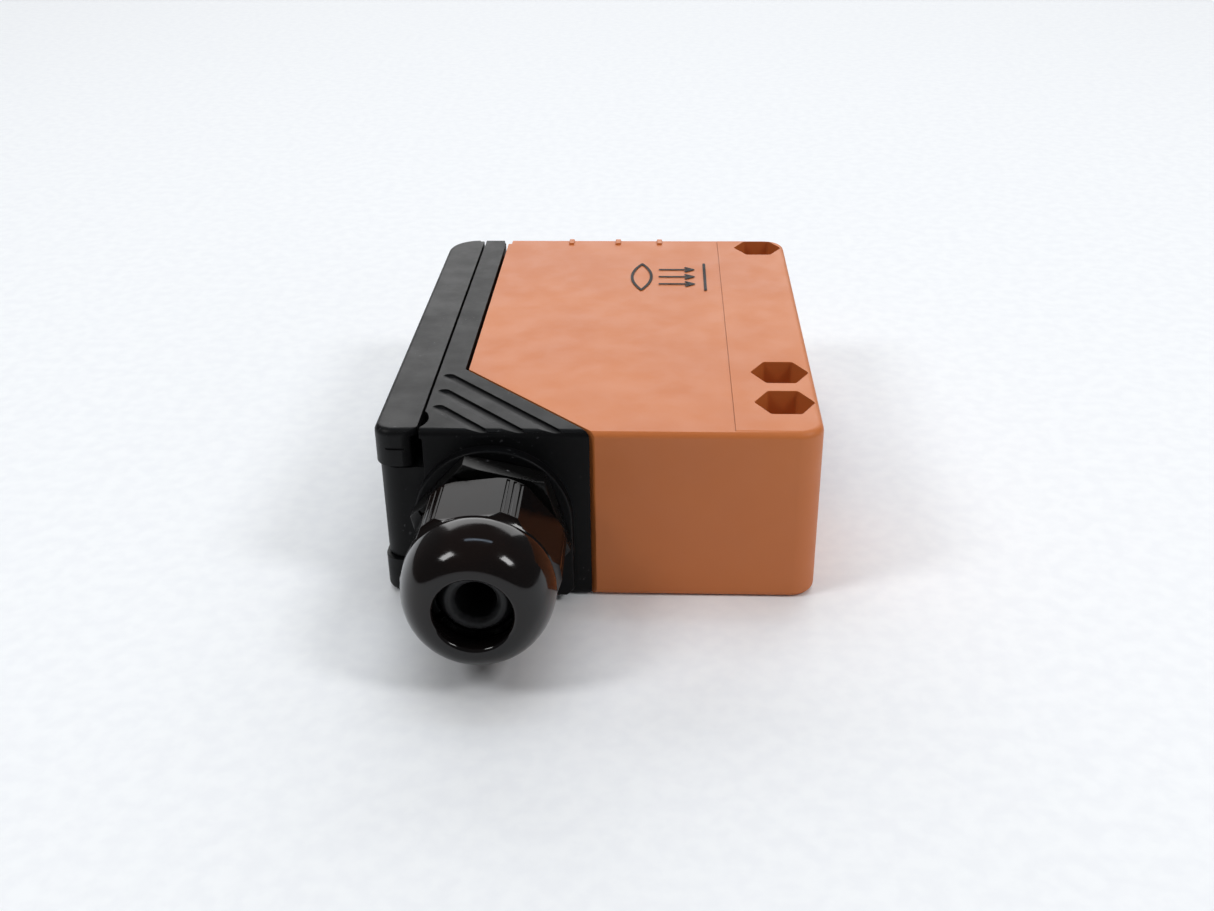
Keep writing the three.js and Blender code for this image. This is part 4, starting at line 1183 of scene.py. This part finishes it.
@dataclass
class TerminalCover:
    """The black cover with its two hinge lugs, seal, captive screw and hinge pin."""

    block: Block
    bench: Bench
    wall: float = 1.8
    lug_height: float = 6.4
    lug_slot: float = 1.1
    lip: float = 1.4
    notch: float = 8.3
    corner_radius: float = 4.05
    seal_width: float = 1.3
    seal_depth: float = 1.5
    seal_corner: float = 1.1
    screw_head: float = 3.5
    screw_head_height: float = 2.4
    screw_hole: float = 1.8
    keeper_seat: Pair = (3.3, 1.8)  # its radius and depth
    pin_hole: float = 1.15
    pin_cap: float = 1.5  # what covers the pin's upper end
    chamber_z: Pair = (4.4, 25.6)
    mouth_near: float = 11.5
    mark: tuple[Pair, float, Pair] = ((2, 5), 0.3, (26.55, 26.85))  # a fine mould line: limits, depth and limits
    far_relief: Pair = (0.9, 1.4)

    def shell(self) -> Stock:
        """The block's back slice with its hollow, seal groove, hinge notch and screw seat.

        Returns:
            The cover's solid.
        """
        block, bench, gap = self.block, self.bench, self.block.gap
        _, length, height = block.size
        thick = block.cover_thickness
        pin, screw = bench.centre("hinge_pin", Axis.Z), bench.centre("cover_screw", Axis.X)
        _, seal_y, seal_z = bench.span("cover_gasket")
        hollow_far = screw[0] - self.screw_head - self.wall
        shell = block.form().keep(box((-BEYOND, thick), (-BEYOND, length + BEYOND), (-BEYOND, height + BEYOND)))
        shell.cut(
            prism(Axis.X, rectangle((self.mouth_near, hollow_far), self.chamber_z, 1), self.wall, thick + BEYOND, 0.6)
        )
        seat_y, seat_z = (seal_y[0] - gap, seal_y[1] + gap), (seal_z[0] - gap, seal_z[1] + gap)
        seat_width = self.seal_width + 2 * gap
        shell.cut(
            hoop(Axis.X, seat_y, seat_z, self.seal_corner, seat_width, thick - self.seal_depth, thick + BEYOND)
        )
        shell.cut(
            box((-BEYOND, thick + BEYOND), (-BEYOND, self.notch), (self.lug_height, height - self.lug_height)),
            box((thick - self.lug_slot, thick + BEYOND), (-BEYOND, self.notch), (self.lip, height - self.lip)),
        )
        corner = box((pin[0], thick + BEYOND), (-BEYOND, pin[1]), (-BEYOND, height + BEYOND))
        shell.cut(corner.cut(rod(Axis.Z, pin, self.corner_radius, -2, height + 2)))
        seat = bench.span("cover_screw")[0][0] + self.screw_head_height + gap
        mark_x, mark_depth, mark_z = self.mark
        relief_x, relief_y = self.far_relief
        return shell.cut(
            rod(Axis.Z, pin, self.pin_hole, -BEYOND, height - self.pin_cap, steps=32),
            rod(Axis.X, screw, self.screw_head + gap, -BEYOND, seat),
            rod(Axis.X, screw, self.screw_hole, 0, thick + BEYOND, steps=32),
            rod(Axis.X, screw, self.keeper_seat[0], thick - self.keeper_seat[1], thick + BEYOND, steps=48),
            box(mark_x, (-BEYOND, mark_depth), mark_z),
            box((thick - relief_x, thick + BEYOND), (length - relief_y, length + BEYOND), (-BEYOND, height + BEYOND)),
        )

    def gasket(self) -> Stock:
        """The seal: a frame of rubber with a rounded crown."""
        (low, high), seal_y, seal_z = self.bench.span("cover_gasket")
        return hoop(Axis.X, seal_y, seal_z, 0.8, self.seal_width, low, high, 0.4)

    def build(self) -> None:
        """Makes the cover and what belongs to it."""
        bench = self.bench
        bench.deliver("terminal_cover_shell", self.shell(), ["terminal_cover"], 0.12)
        bench.deliver("cover_gasket_ring", self.gasket(), ["cover_gasket"])
        pin = rod(Axis.Z, bench.centre("hinge_pin", Axis.Z), 1, *bench.span("hinge_pin")[2], 0.2, 0.2, 40)
        bench.deliver("hinge_pin_rod", pin, ["hinge_pin"])
        screw = SlottedScrew.standing(bench, "cover_screw", self.screw_head, self.screw_head_height, 1.5, 1, 1.2)
        bench.deliver("cover_screw_slotted", screw.solid(), ["cover_screw"], 0.06)
        centre, along = bench.centre("cover_screw_ring", Axis.X), bench.span("cover_screw_ring")[0]
        washer = ring(Axis.X, centre, self.screw_hole, 3, *along, 0.2, 48)
        bench.deliver("cover_screw_keeper", washer, ["cover_screw_ring"])


@dataclass(frozen=True)
class SlottedScrew:
    """A cheese-head screw along X: a slotted head with a round rim and a shank with thread ridges."""

    centre: Pair
    low: float
    high: float
    head_radius: float
    head_height: float
    shank_radius: float
    slot_width: float
    slot_depth: float
    pitch: float = 0.5
    thread_depth: float = 0.22

    @classmethod
    def standing(cls, bench: Bench, node: str, *sizes: float, **more: float) -> "SlottedScrew":
        """A screw that stands where a CAD node does, with its sizes from the head's radius on."""
        return cls(bench.centre(node, Axis.X), *bench.span(node)[0], *sizes, **more)

    def solid(self) -> Stock:
        """The head and the ridges as one turned profile: the ridges are a triangle wave along the shank.

        Returns:
            The screw.
        """
        under = self.low + self.head_height
        count = int((self.high - under - 1) / self.pitch)
        place = under + 0.6 + np.arange(2 * count + 1) * self.pitch / 2
        radius = self.shank_radius - self.thread_depth * (np.arange(2 * count + 1) % 2)
        root = self.shank_radius - self.thread_depth
        head = rounded([(0, self.low), (self.head_radius, self.low), (self.head_radius, under), (0, under)], 0.3, False)
        profile = np.concatenate([
            head[:-1],
            [(root, under), (root, under + 0.35)],
            np.column_stack([radius, place]),
            [(root - 0.3, self.high), (0, self.high)],
        ])
        y, z = self.centre
        reach = self.head_radius + BEYOND
        slot = box(
            (self.low - BEYOND, self.low + self.slot_depth),
            (y - self.slot_width / 2, y + self.slot_width / 2),
            (z - reach, z + reach),
        )
        return turned(Axis.X, self.centre, profile, 48).cut(slot)


# ---------------------------------------------------------------- cable gland


@dataclass
class CableGland:
    """The gland from its hexagon on the boss to the polished cap nut, with the seal and claw inside it."""

    bench: Bench
    across: float = 22
    hex_turn: float = np.radians(43)
    nut_turn: float = np.radians(23)
    nut_radius: float = 12
    collar_radius: float = 11.4
    rim_radius: float = 5.8
    lip: float = 1.3
    rib_radius: float = 0.28
    rib_stand: float = 0.12
    rib_spread: float = np.radians(5.4)
    thread_pitch: float = 1.5
    hex_y: Pair = (-6.2, -2.3)
    shank_radius: float = 9.3
    thread_root: float = 8.3
    thread_crest: float = 8.8
    thread_depth: float = 0.5
    bore: float = 6
    claw_bore: Pair = (7.2, 7)  # its radius and depth
    grip_length: float = 8.6
    dome_length: float = 7.9
    nut_bore: float = 9.3

    def __post_init__(self) -> None:
        """Reads the gland's axis and the places of its pieces along it."""
        self.nut_y: Pair = self.bench.span("gland_cap_nut")[1]
        self.centre: Pair = self.bench.centre("gland_cap_nut", Axis.Y)

    def hexagon(self, turn: float, low: float, high: float) -> Stock:
        """A hexagonal bar about the gland's axis."""
        outline = arc(self.centre, self.across / np.sqrt(3), turn, turn + FULL_TURN, 6)[:-1]
        return prism(Axis.Y, outline, low, high)

    def body(self) -> Stock:
        """Hexagon with chamfered corners, a shank behind it and a collar with ridges for its thread in front.

        Returns:
            The body's solid.
        """
        front, back = self.bench.span("gland_body")[1]
        hex_front, hex_back = self.hex_y
        root = self.thread_root
        corner = self.across / np.sqrt(3)
        chamfer = turned(Axis.Y, self.centre, np.array([
            (0, hex_front), (corner - 1.0, hex_front), (corner, hex_front + 0.6), (corner, hex_back - 0.5),
            (corner - 0.9, hex_back), (0, hex_back),
        ]))
        ridges = np.arange(hex_front - 0.8, front + 0.8, -self.thread_pitch / 2)
        collar = turned(Axis.Y, self.centre, np.concatenate([
            [(0, hex_front + 0.3), (root, hex_front + 0.3), (root, hex_front - 0.4)],
            np.column_stack([self.thread_crest - self.thread_depth * (np.arange(len(ridges)) % 2), ridges]),
            [(root, front), (0, front)],
        ]))
        shank = rod(Axis.Y, self.centre, self.shank_radius, hex_back - 0.3, back, 0, 0.5, 96)
        whole = self.hexagon(self.hex_turn, hex_front - BEYOND, hex_back + BEYOND).keep(chamfer).join(collar, shank)
        return whole.cut(
            rod(Axis.Y, self.centre, self.bore, front - BEYOND, back + BEYOND, steps=96),
            rod(Axis.Y, self.centre, self.claw_bore[0], front - BEYOND, front + self.claw_bore[1], steps=96),
        )

    def cap_nut(self) -> Stock:
        """The cap nut. Outside, its radius falls from the collar to the rim as a quarter of an ellipse; the six
        flats end in scallops on the collar's cone, and fine grooves lie in the corners between them.

        Returns:
            The nut's solid.
        """
        tip, rear = self.nut_y
        grip, dome, bore = tip + self.grip_length, tip + self.dome_length, self.nut_bore
        collar, rim_middle = self.collar_radius, self.rim_radius + self.lip / 2
        angle = np.linspace(0, np.pi / 2, 29)
        outside = np.column_stack([
            rim_middle + (collar - rim_middle) * np.cos(angle) ** 0.92,
            dome - (dome - tip) * np.sin(angle),
        ])
        rim = arc((rim_middle, tip + self.lip / 2), self.lip / 2, -np.pi / 2, -np.pi, 8)[1:]
        profile = np.concatenate([
            [(bore, rear), (self.nut_radius - 0.5, rear), (self.nut_radius, rear - 0.5)],
            [(self.nut_radius, grip + 0.9), (collar + 0.12, grip), (collar - 0.12, grip - 0.25)],
            outside,
            rim,
            [(6.6, tip + 3.7), (bore, tip + 10.3)],
        ])
        whole = turned(Axis.Y, self.centre, profile, 144)
        flats = self.hexagon(self.nut_turn, grip - 0.1, rear + BEYOND)
        front = rod(Axis.Y, self.centre, self.nut_radius + BEYOND, tip - BEYOND, grip, steps=96)
        whole.keep(flats.join(front))
        # The grooves end short of the rear face, which stays a plain ring.
        grooves = [
            rod(
                Axis.Y, self._at(self.nut_turn + corner * np.pi / 3 + side, self.nut_radius + self.rib_stand),
                self.rib_radius, grip + 1.1, rear - 0.8, 0.15, 0.15, 16,
            )
            for corner in range(6) for side in (-self.rib_spread, 0, self.rib_spread)
        ]
        return whole.cut(*grooves)

    def _at(self, angle: float, radius: float) -> Pair:
        """A place about the gland's axis."""
        return (self.centre[0] + radius * np.cos(angle), self.centre[1] + radius * np.sin(angle))

    def seal(self) -> Stock:
        """The rubber insert: a sleeve whose nose tapers and whose bore opens in a small funnel.

        Returns:
            The insert's solid.
        """
        front, back = self.bench.span("gland_seal")[1]
        profile = [(3, front + 0.8), (3.7, front), (4.6, front), (5.6, front + 1.6), (5.6, back), (3, back)]
        return turned(Axis.Y, self.centre, rounded(profile, 0.3, steps=3))

    def claw(self) -> Stock:
        """The clamping sleeve, cut by three crossing slots into six fingers.

        Returns:
            The sleeve's solid.
        """
        front, back = self.bench.span("clamping_claw")[1]
        sleeve = ring(Axis.Y, self.centre, 5.9, 6.9, front, back, 0.25)
        for turn in np.arange(3) * np.pi / 3:
            along, across = np.array([np.cos(turn), np.sin(turn)]) * 8, np.array([-np.sin(turn), np.cos(turn)]) * 0.5
            outline = np.array([-along - across, along - across, along + across, -along + across]) + self.centre
            sleeve.cut(prism(Axis.Y, outline, front - BEYOND, front + 10))
        return sleeve

    def build(self) -> None:
        """Makes the gland's pieces from the boss outwards."""
        bench = self.bench
        bench.deliver("gland_body_hex", self.body(), ["gland_body"], 0.12)
        y = bench.span("gland_o_ring")[1]
        bench.deliver("gland_o_ring_seal", ring(Axis.Y, self.centre, 9.6, 10.6, *y, 0.35), ["gland_o_ring"])
        bench.deliver("clamping_claw_sleeve", self.claw(), ["clamping_claw"])
        bench.deliver("gland_seal_insert", self.seal(), ["gland_seal"])
        y = bench.span("thrust_ring")[1]
        bench.deliver("thrust_ring_washer", ring(Axis.Y, self.centre, 7.3, 9.1, *y, 0.2), ["thrust_ring"])
        bench.deliver("gland_cap_nut_dome", self.cap_nut(), ["gland_cap_nut"], 0.1, 24)


# ---------------------------------------------------------------- terminal chamber


@dataclass
class TerminalRow:
    """The terminal block with its cages, and in each a slotted screw that draws a clamp up against the wire."""

    bench: Bench
    count: int = 5
    well_radius: float = 2.6
    well_depth: float = 3.4
    hole_radius: float = 1.6
    cage_x: Pair = (20.4, 26)
    cage_half: float = 2.6
    cage_floor: float = 9.6
    clamp_wall: float = 0.8
    clamp_hole: float = 1.4
    parting_groove: Pair = (0.5, 0.25)  # its depth and half its width

    def centres(self) -> list[Pair]:
        """Where each screw stands, as (Y, Z)."""
        return [self.bench.centre(f"terminal_screw_{number}", Axis.X) for number in range(1, self.count + 1)]

    def block(self) -> Stock:
        """The block: a well over each screw, a cage open at the wire side and a fine groove between the ways.

        Returns:
            The block's solid.
        """
        x, y, z = self.bench.span("terminal_block")
        solid = box(x, y, z, 0.35)
        for place, level in self.centres():
            cage_y = (place - self.cage_half, place + self.cage_half)
            solid.cut(
                rod(Axis.X, (place, level), self.well_radius, x[0] - BEYOND, x[0] + self.well_depth, steps=40),
                rod(Axis.X, (place, level), self.hole_radius, x[0], self.cage_x[0] + BEYOND, steps=32),
                box(self.cage_x, cage_y, (self.cage_floor, z[1] + BEYOND)),
            )
        between = [(a[0] + b[0]) / 2 for a, b in zip(self.centres(), self.centres()[1:])]
        depth, half = self.parting_groove
        groove_x, groove_z = (x[0] - BEYOND, x[0] + depth), (z[0] - BEYOND, z[1] + BEYOND)
        return solid.cut(*(box(groove_x, (middle - half, middle + half), groove_z) for middle in between))

    def clamp(self, node: str, centre: Pair) -> Stock:
        """A folded brass cage: a rounded box with an opening through it for the wire, and the screw's hole.

        Args:
            node: The CAD node it stands for.
            centre: Where the screw stands, as (Y, Z).

        Returns:
            The cage's solid.
        """
        x, y, z = self.bench.span(node)
        wall = self.clamp_wall
        inside = rectangle((x[0] + wall, x[1] - wall), (y[0] + wall, y[1] - wall), 0.3, 4)
        return prism(Axis.Z, rectangle(x, y, 0.6, 5), *z).cut(
            prism(Axis.Z, inside, z[0] - BEYOND, z[1] + BEYOND),
            rod(Axis.X, centre, self.clamp_hole, x[0] - BEYOND, x[0] + wall + BEYOND, steps=32),
        )

    def build(self) -> None:
        """Makes the block and each way's screw and clamp."""
        bench = self.bench
        bench.deliver("terminal_block_moulded", self.block(), ["terminal_block"], 0.08)
        for number, centre in enumerate(self.centres(), 1):
            node = f"terminal_screw_{number}"
            screw = SlottedScrew.standing(bench, node, 2.2, 1.8, 1.3, 0.7, 0.8)
            bench.deliver(f"{node}_slotted", screw.solid(), [node], 0.04)
            node = f"terminal_clamp_{number}"
            bench.deliver(f"{node}_cage", self.clamp(node, centre), [node], 0.06)


@dataclass
class Adjusters:
    """What is set inside the chamber: the sensitivity dial, the slide switch, and the screws that hold the housing."""

    bench: Bench
    well_radius: float = 3.5
    well_depth: float = 1.5
    dial_slot: tuple[float, float, float] = (0.9, 1.0, 2.4)  # its width, its depth and half its length
    pointer: tuple[float, float, float] = (2.72, 0.22, 0.3)  # how far out it stands, its radius and its depth
    switch_well: tuple[float, float, float] = (1.5, 1.5, 2.5)  # its depth, half its width and half its length
    slider_groove: Pair = (0.3, 0.12)  # its depth and half its width

    def dial(self) -> None:
        """The dial's case with a round well, and the rotor with its screwdriver slot and pointer."""
        bench = self.bench
        x, y, z = bench.span("potentiometer_case")
        across, up = centre = bench.centre("potentiometer_case", Axis.X)
        case = box(x, y, z, 0.4).cut(rod(Axis.X, centre, self.well_radius, x[0] - BEYOND, x[0] + self.well_depth))
        bench.deliver("potentiometer_case_moulded", case, ["potentiometer_case"], 0.05)
        x, y, z = bench.span("potentiometer_rotor")
        radius = (y[1] - y[0]) / 2
        rotor = rod(Axis.X, centre, radius, *x, 0.3, 0.2)
        width, depth, half = self.dial_slot
        out, dot, dot_depth = self.pointer
        rotor.cut(
            box((x[0] - BEYOND, x[0] + depth), (across - width / 2, across + width / 2), (up - half, up + half)),
            prism(Axis.X, circle((across, up + out), dot, 12), x[0] - BEYOND, x[0] + dot_depth),
        )
        bench.deliver("potentiometer_rotor_slotted", rotor, ["potentiometer_rotor"], 0.05)

    def switch(self) -> None:
        """The slide switch's case with its well, and the ribbed slider in it."""
        bench = self.bench
        x, y, z = bench.span("mode_switch_case")
        depth, half_y, half_z = self.switch_well
        across, up = bench.centre("mode_switch_case", Axis.X)
        well = box((x[0] - BEYOND, x[0] + depth), (across - half_y, across + half_y), (up - half_z, up + half_z))
        bench.deliver("mode_switch_case_moulded", box(x, y, z, 0.3).cut(well), ["mode_switch_case"], 0.05)
        x, y, z = bench.span("mode_switch_slider")
        slider = box(x, y, z, 0.2)
        depth, half = self.slider_groove
        groove_x, groove_y = (x[0] - BEYOND, x[0] + depth), (y[0] - BEYOND, y[1] + BEYOND)
        grooves = np.linspace(z[0], z[1], 5)[1:-1]
        slider.cut(*(box(groove_x, groove_y, (place - half, place + half)) for place in grooves))
        bench.deliver("mode_switch_slider_ribbed", slider, ["mode_switch_slider"], 0.05)

    def build(self) -> None:
        """Makes the dial, the switch and the four housing screws."""
        self.dial()
        self.switch()
        for number in range(1, 5):
            node = f"chamber_screw_{number}"
            screw = SlottedScrew.standing(self.bench, node, 2.5, 2, 1.5, 0.8, 1, pitch=0.7)
            self.bench.deliver(f"{node}_slotted", screw.solid(), [node], 0.05)


# ---------------------------------------------------------------- optics


@dataclass
class Optics:
    """What stands behind the front: red window, its seal, two lenses in a black carrier, and the indicator window."""

    bench: Bench
    lens_back: float = 61
    lens_edge: float = 1.6
    barrel: float = 9.1
    throat: float = 5
    barrel_from: float = 49
    lens_room: float = 10.4
    baffle: float = 0.7
    lens_nodes: tuple[str, ...] = ("emitter_lens", "receiver_lens")

    def carrier(self) -> Stock:
        """The carrier: two stepped barrels with baffle rings that catch stray light.

        Returns:
            The carrier's solid.
        """
        x, y, z = self.bench.span("optics_carrier")
        low, high, seat = x[0] - BEYOND, x[1] + BEYOND, self.lens_back - 0.3
        barrel, baffle, room = self.barrel, self.baffle, self.lens_room
        profile = [(0, low), (self.throat, low), (self.throat, self.barrel_from)]
        for place in np.linspace(self.barrel_from + 2, seat - 2, 5):
            profile += [(barrel, place - baffle), (barrel, place), (barrel - baffle, place + 0.1)]
        profile += [(barrel, seat - 0.8), (barrel, seat), (room, seat), (room, high), (0, high)]
        centres = (self.bench.centre(node, Axis.X) for node in self.lens_nodes)
        return box(x, y, z, 0.5).cut(*(turned(Axis.X, centre, np.array(profile), 72) for centre in centres))

    def lens(self, node: str) -> Stock:
        """A plano-convex lens: flat behind, a short edge, and in front a circle's arc whose sag is its rise.

        Args:
            node: The CAD node it stands for.

        Returns:
            The lens.
        """
        (back, front), y, _ = self.bench.span(node)
        radius = (y[1] - y[0]) / 2
        rise = front - back - self.lens_edge
        ball = (radius**2 + rise**2) / (2 * rise)
        angle = np.linspace(np.arcsin(radius / ball), 0, 20)
        dome = np.column_stack([ball * np.sin(angle), front - ball + ball * np.cos(angle)])
        profile = np.concatenate([[(0, back), (radius - 0.2, back), (radius, back + 0.2)], dome])
        return turned(Axis.X, self.bench.centre(node, Axis.X), profile)

    def build(self) -> None:
        """Makes the window, seal, carrier, lenses and indicator window."""
        bench = self.bench
        bench.deliver("optics_carrier_moulded", self.carrier(), ["optics_carrier"], 0.1)
        for node in self.lens_nodes:
            bench.deliver(f"{node}_ground", self.lens(node), [node], 0, 40)
        x, y, z = bench.span("front_window")
        pane = prism(Axis.X, rectangle(y, z, 1.7, 8), *x, 0.1, 0.35, 4)
        bench.deliver("front_window_pane", pane, ["front_window"])
        x, y, z = bench.span("front_seal")
        bench.deliver("front_seal_frame", hoop(Axis.X, y, z, 1.4, 1.1, *x, 0.15), ["front_seal"])
        x, y, z = bench.span("indicator_window")
        plug = prism(Axis.Y, rectangle((z[0] + 1, z[1] - 1), (x[0] + 1, x[1] - 1), 1, 8), y[0], y[1], 0, 0.3, 4)
        flange = prism(Axis.Y, rectangle(z, x, 1.2, 8), y[0], y[0] + 1, 0.1)
        bench.deliver("indicator_window_plug", plug.join(flange), ["indicator_window"], 0.05)


# ---------------------------------------------------------------- printed sign


@dataclass
class Pictogram:
    """A plain sign printed on the top, without words: a lens, its rays and a target, in thin raised ink."""

    bench: Bench
    x: Pair = (38.3, 53.1)
    y: Pair = (60.5, 75)
    line: float = 0.55
    ink: float = 0.02
    lens_in: float = 2.4
    lens_bulge: float = 1.9
    ray_in: Pair = (6, 2.2)  # how far inside the sign's limits a ray starts and ends
    arrow: Pair = (1.5, 1.1)  # an arrowhead's length and half its width
    ray_places: tuple[float, ...] = (-0.55, 0, 0.55)

    def stroke(self, start: Pair, end: Pair) -> Stock:
        """A straight ink line with round ends.

        Args:
            start: The middle of its first round end.
            end: The middle of its other round end.

        Returns:
            The line, half sunk in the housing's top.
        """
        a, b = np.array(start), np.array(end)
        turn = float(np.arctan2(*(b - a)[::-1])) + np.pi / 2
        outline = np.concatenate([
            arc(start, self.line / 2, turn, turn + np.pi, 8),
            arc(end, self.line / 2, turn + np.pi, turn + FULL_TURN, 8),
        ])
        top = self.bench.span("main_housing")[2][1]
        return prism(Axis.Z, outline, top - self.ink, top + self.ink)

    def build(self) -> None:
        """Draws the lens as two arcs that meet, three rays with their arrowheads, and the bar that they fall on."""
        (x0, x1), (y0, y1) = self.x, self.y
        middle, half = (y0 + y1) / 2, (y1 - y0) / 2
        bulge = np.linspace(-1, 1, 15)
        lens = []
        for side in (-1, 1):
            across = x0 + self.lens_in + side * self.lens_bulge * (1 - bulge**2)
            points = np.column_stack([across, middle + half * bulge])
            lens += [self.stroke(tuple(a), tuple(b)) for a, b in zip(points, points[1:])]
        rays = []
        tip, (back, side) = x1 - self.ray_in[1], self.arrow
        for y in (middle + half * place for place in self.ray_places):
            starts = ((x0 + self.ray_in[0], y), (tip - back, y - side), (tip - back, y + side))
            rays += [self.stroke(start, (tip, y)) for start in starts]
        sign = self.stroke((x1, y0), (x1, y1)).join(*lens, *rays)
        self.bench.deliver("printed_sign", sign, [], slot="black_polyamide", body="housing")


# ---------------------------------------------------------------- studio


@dataclass(frozen=True)
class Softbox:
    """A soft rectangular lamp aimed at a point."""

    name: str
    place: tuple[float, float, float]
    aim: tuple[float, float, float]
    size: Pair
    power: float
    colour: str = "#FFFFFF"
    mirrored: bool = True  # whether glossy pieces show it; a hidden one lights without a reflection of its own

    def light(self) -> None:
        """Hangs the lamp."""
        data = bpy.data.lights.new(self.name, "AREA")
        data.shape = "RECTANGLE"
        data.size, data.size_y = self.size
        data.energy = self.power
        data.color = linear(self.colour)[:3]
        item = bpy.data.objects.new(self.name, data)
        item.visible_glossy = self.mirrored
        bpy.context.scene.collection.objects.link(item)
        item.location = self.place
        way = Vector(self.aim) - Vector(self.place)
        item.rotation_euler = way.to_track_quat("-Z", "Y").to_euler()


@dataclass(frozen=True)
class Studio:
    """A pale seamless sheet, soft lamps and the camera."""

    camera_place: tuple[float, float, float] = (0.009691, -0.212776, 0.122867)
    yaw: float = -0.045274
    pitch: float = 0.489473
    roll: float = -0.012296
    lens_mm: float = 39.58
    sensor_mm: float = 36.0
    sheet_colour: str = "#F4F6F8"
    sheet_half_m: float = 3.0
    room_light: float = 0.1
    room_seen: float = 0.85

    def camera(self) -> None:
        """Points the camera by yaw about Z, pitch below the horizon and roll about its own line of sight."""
        data = bpy.data.cameras.new("camera")
        data.sensor_fit = "HORIZONTAL"
        data.sensor_width = self.sensor_mm
        data.lens = self.lens_mm
        data.clip_start = 0.01
        level = np.cos(self.pitch)
        ahead = Vector((np.sin(self.yaw) * level, np.cos(self.yaw) * level, -np.sin(self.pitch)))
        right = Vector((np.cos(self.yaw), -np.sin(self.yaw), 0))
        up = right.cross(ahead)
        side = right * np.cos(self.roll) + up * np.sin(self.roll)
        top = up * np.cos(self.roll) - right * np.sin(self.roll)
        item = bpy.data.objects.new("camera", data)
        item.matrix_world = Matrix.Translation(self.camera_place) @ Matrix((side, top, -ahead)).transposed().to_4x4()
        bpy.context.scene.collection.objects.link(item)
        bpy.context.scene.camera = item

    def sheet(self) -> None:
        """A flat sheet of matte paper under the sensor."""
        half = self.sheet_half_m
        corners = np.array([[-half, -half, 0], [half, -half, 0], [half, half, 0], [-half, half, 0]])
        mesh = bpy.data.meshes.new("paper_sheet")
        mesh.from_pydata(corners, [], [(0, 1, 2, 3)])
        graph = Graph("paper_matte", IOR=1.45)
        pulp = graph.ramp(graph.noise(3, 3), 0.3, 0.7)
        graph.feed(Base_Color=graph.mix(pulp, linear(self.sheet_colour), linear("#F0F2F5")))
        graph.feed(Roughness=graph.ramp(pulp, 0, 1, 0.85, 0.9))
        mesh.materials.append(graph.material)
        item = bpy.data.objects.new("paper_sheet", mesh)
        bpy.context.scene.collection.objects.link(item)

    def build(self) -> None:
        """Sets up the sheet, the lamps, the surrounding light and the camera."""
        self.sheet()
        for lamp in (
            Softbox("overhead_softbox", (0.0, 0.25, 1.4), (0, 0, 0), (1.5, 1.1), 9.2, mirrored=False),
            Softbox("rear_softbox", (0.0, 1.9, 1.0), (0, 0, 0.02), (2.6, 1.2), 27.0),
            Softbox("left_softbox", (-0.62, -0.3, 0.75), (0, -0.04, 0.015), (0.22, 0.28), 2.4),
            Softbox("right_softbox", (0.66, -0.3, 0.75), (0, -0.04, 0.015), (0.22, 0.28), 2.6),
            Softbox("ceiling_strip", (0.0, 0.2, 1.0), (0, -0.06, 0.015), (0.6, 0.07), 0.6, "#C9DDF2"),
            Softbox("camera_side_fill", (1.1, -1.1, 0.45), (0, 0, 0.015), (0.9, 0.5), 1.8, mirrored=False),
        ):
            lamp.light()
        world = bpy.data.worlds.new("room")
        bpy.context.scene.world = world
        world.use_nodes = True
        tree = world.node_tree
        backdrop = tree.nodes["Background"]
        backdrop.inputs["Color"].default_value = linear("#F2F6FA")
        seen = tree.nodes.new("ShaderNodeMapRange")  # the room lights the sensor weakly and still looks pale
        seen.inputs["To Min"].default_value = self.room_light
        seen.inputs["To Max"].default_value = self.room_seen
        tree.links.new(tree.nodes.new("ShaderNodeLightPath").outputs["Is Camera Ray"], seen.inputs["Value"])
        tree.links.new(seen.outputs[0], backdrop.inputs["Strength"])
        bpy.context.scene.view_settings.view_transform = "Standard"
        self.camera()


# ---------------------------------------------------------------- the whole sensor


def main() -> None:
    """Builds each sub-assembly in order, gives the CAD nodes that stay their finishes, then sets up the studio."""
    logging.basicConfig(level=logging.INFO, format="%(name)s: %(message)s", force=True)
    bench = Bench()
    block = Block.measured(bench)
    for part in (
        MainHousing(block, bench), ConnectionHousing(block, bench), TerminalCover(block, bench), CableGland(bench),
        TerminalRow(bench), Adjusters(bench), Optics(bench), Pictogram(bench),
    ):
        part.build()
    bench.dress_rest()
    Studio().build()


if __name__ == "__main__":
    main()
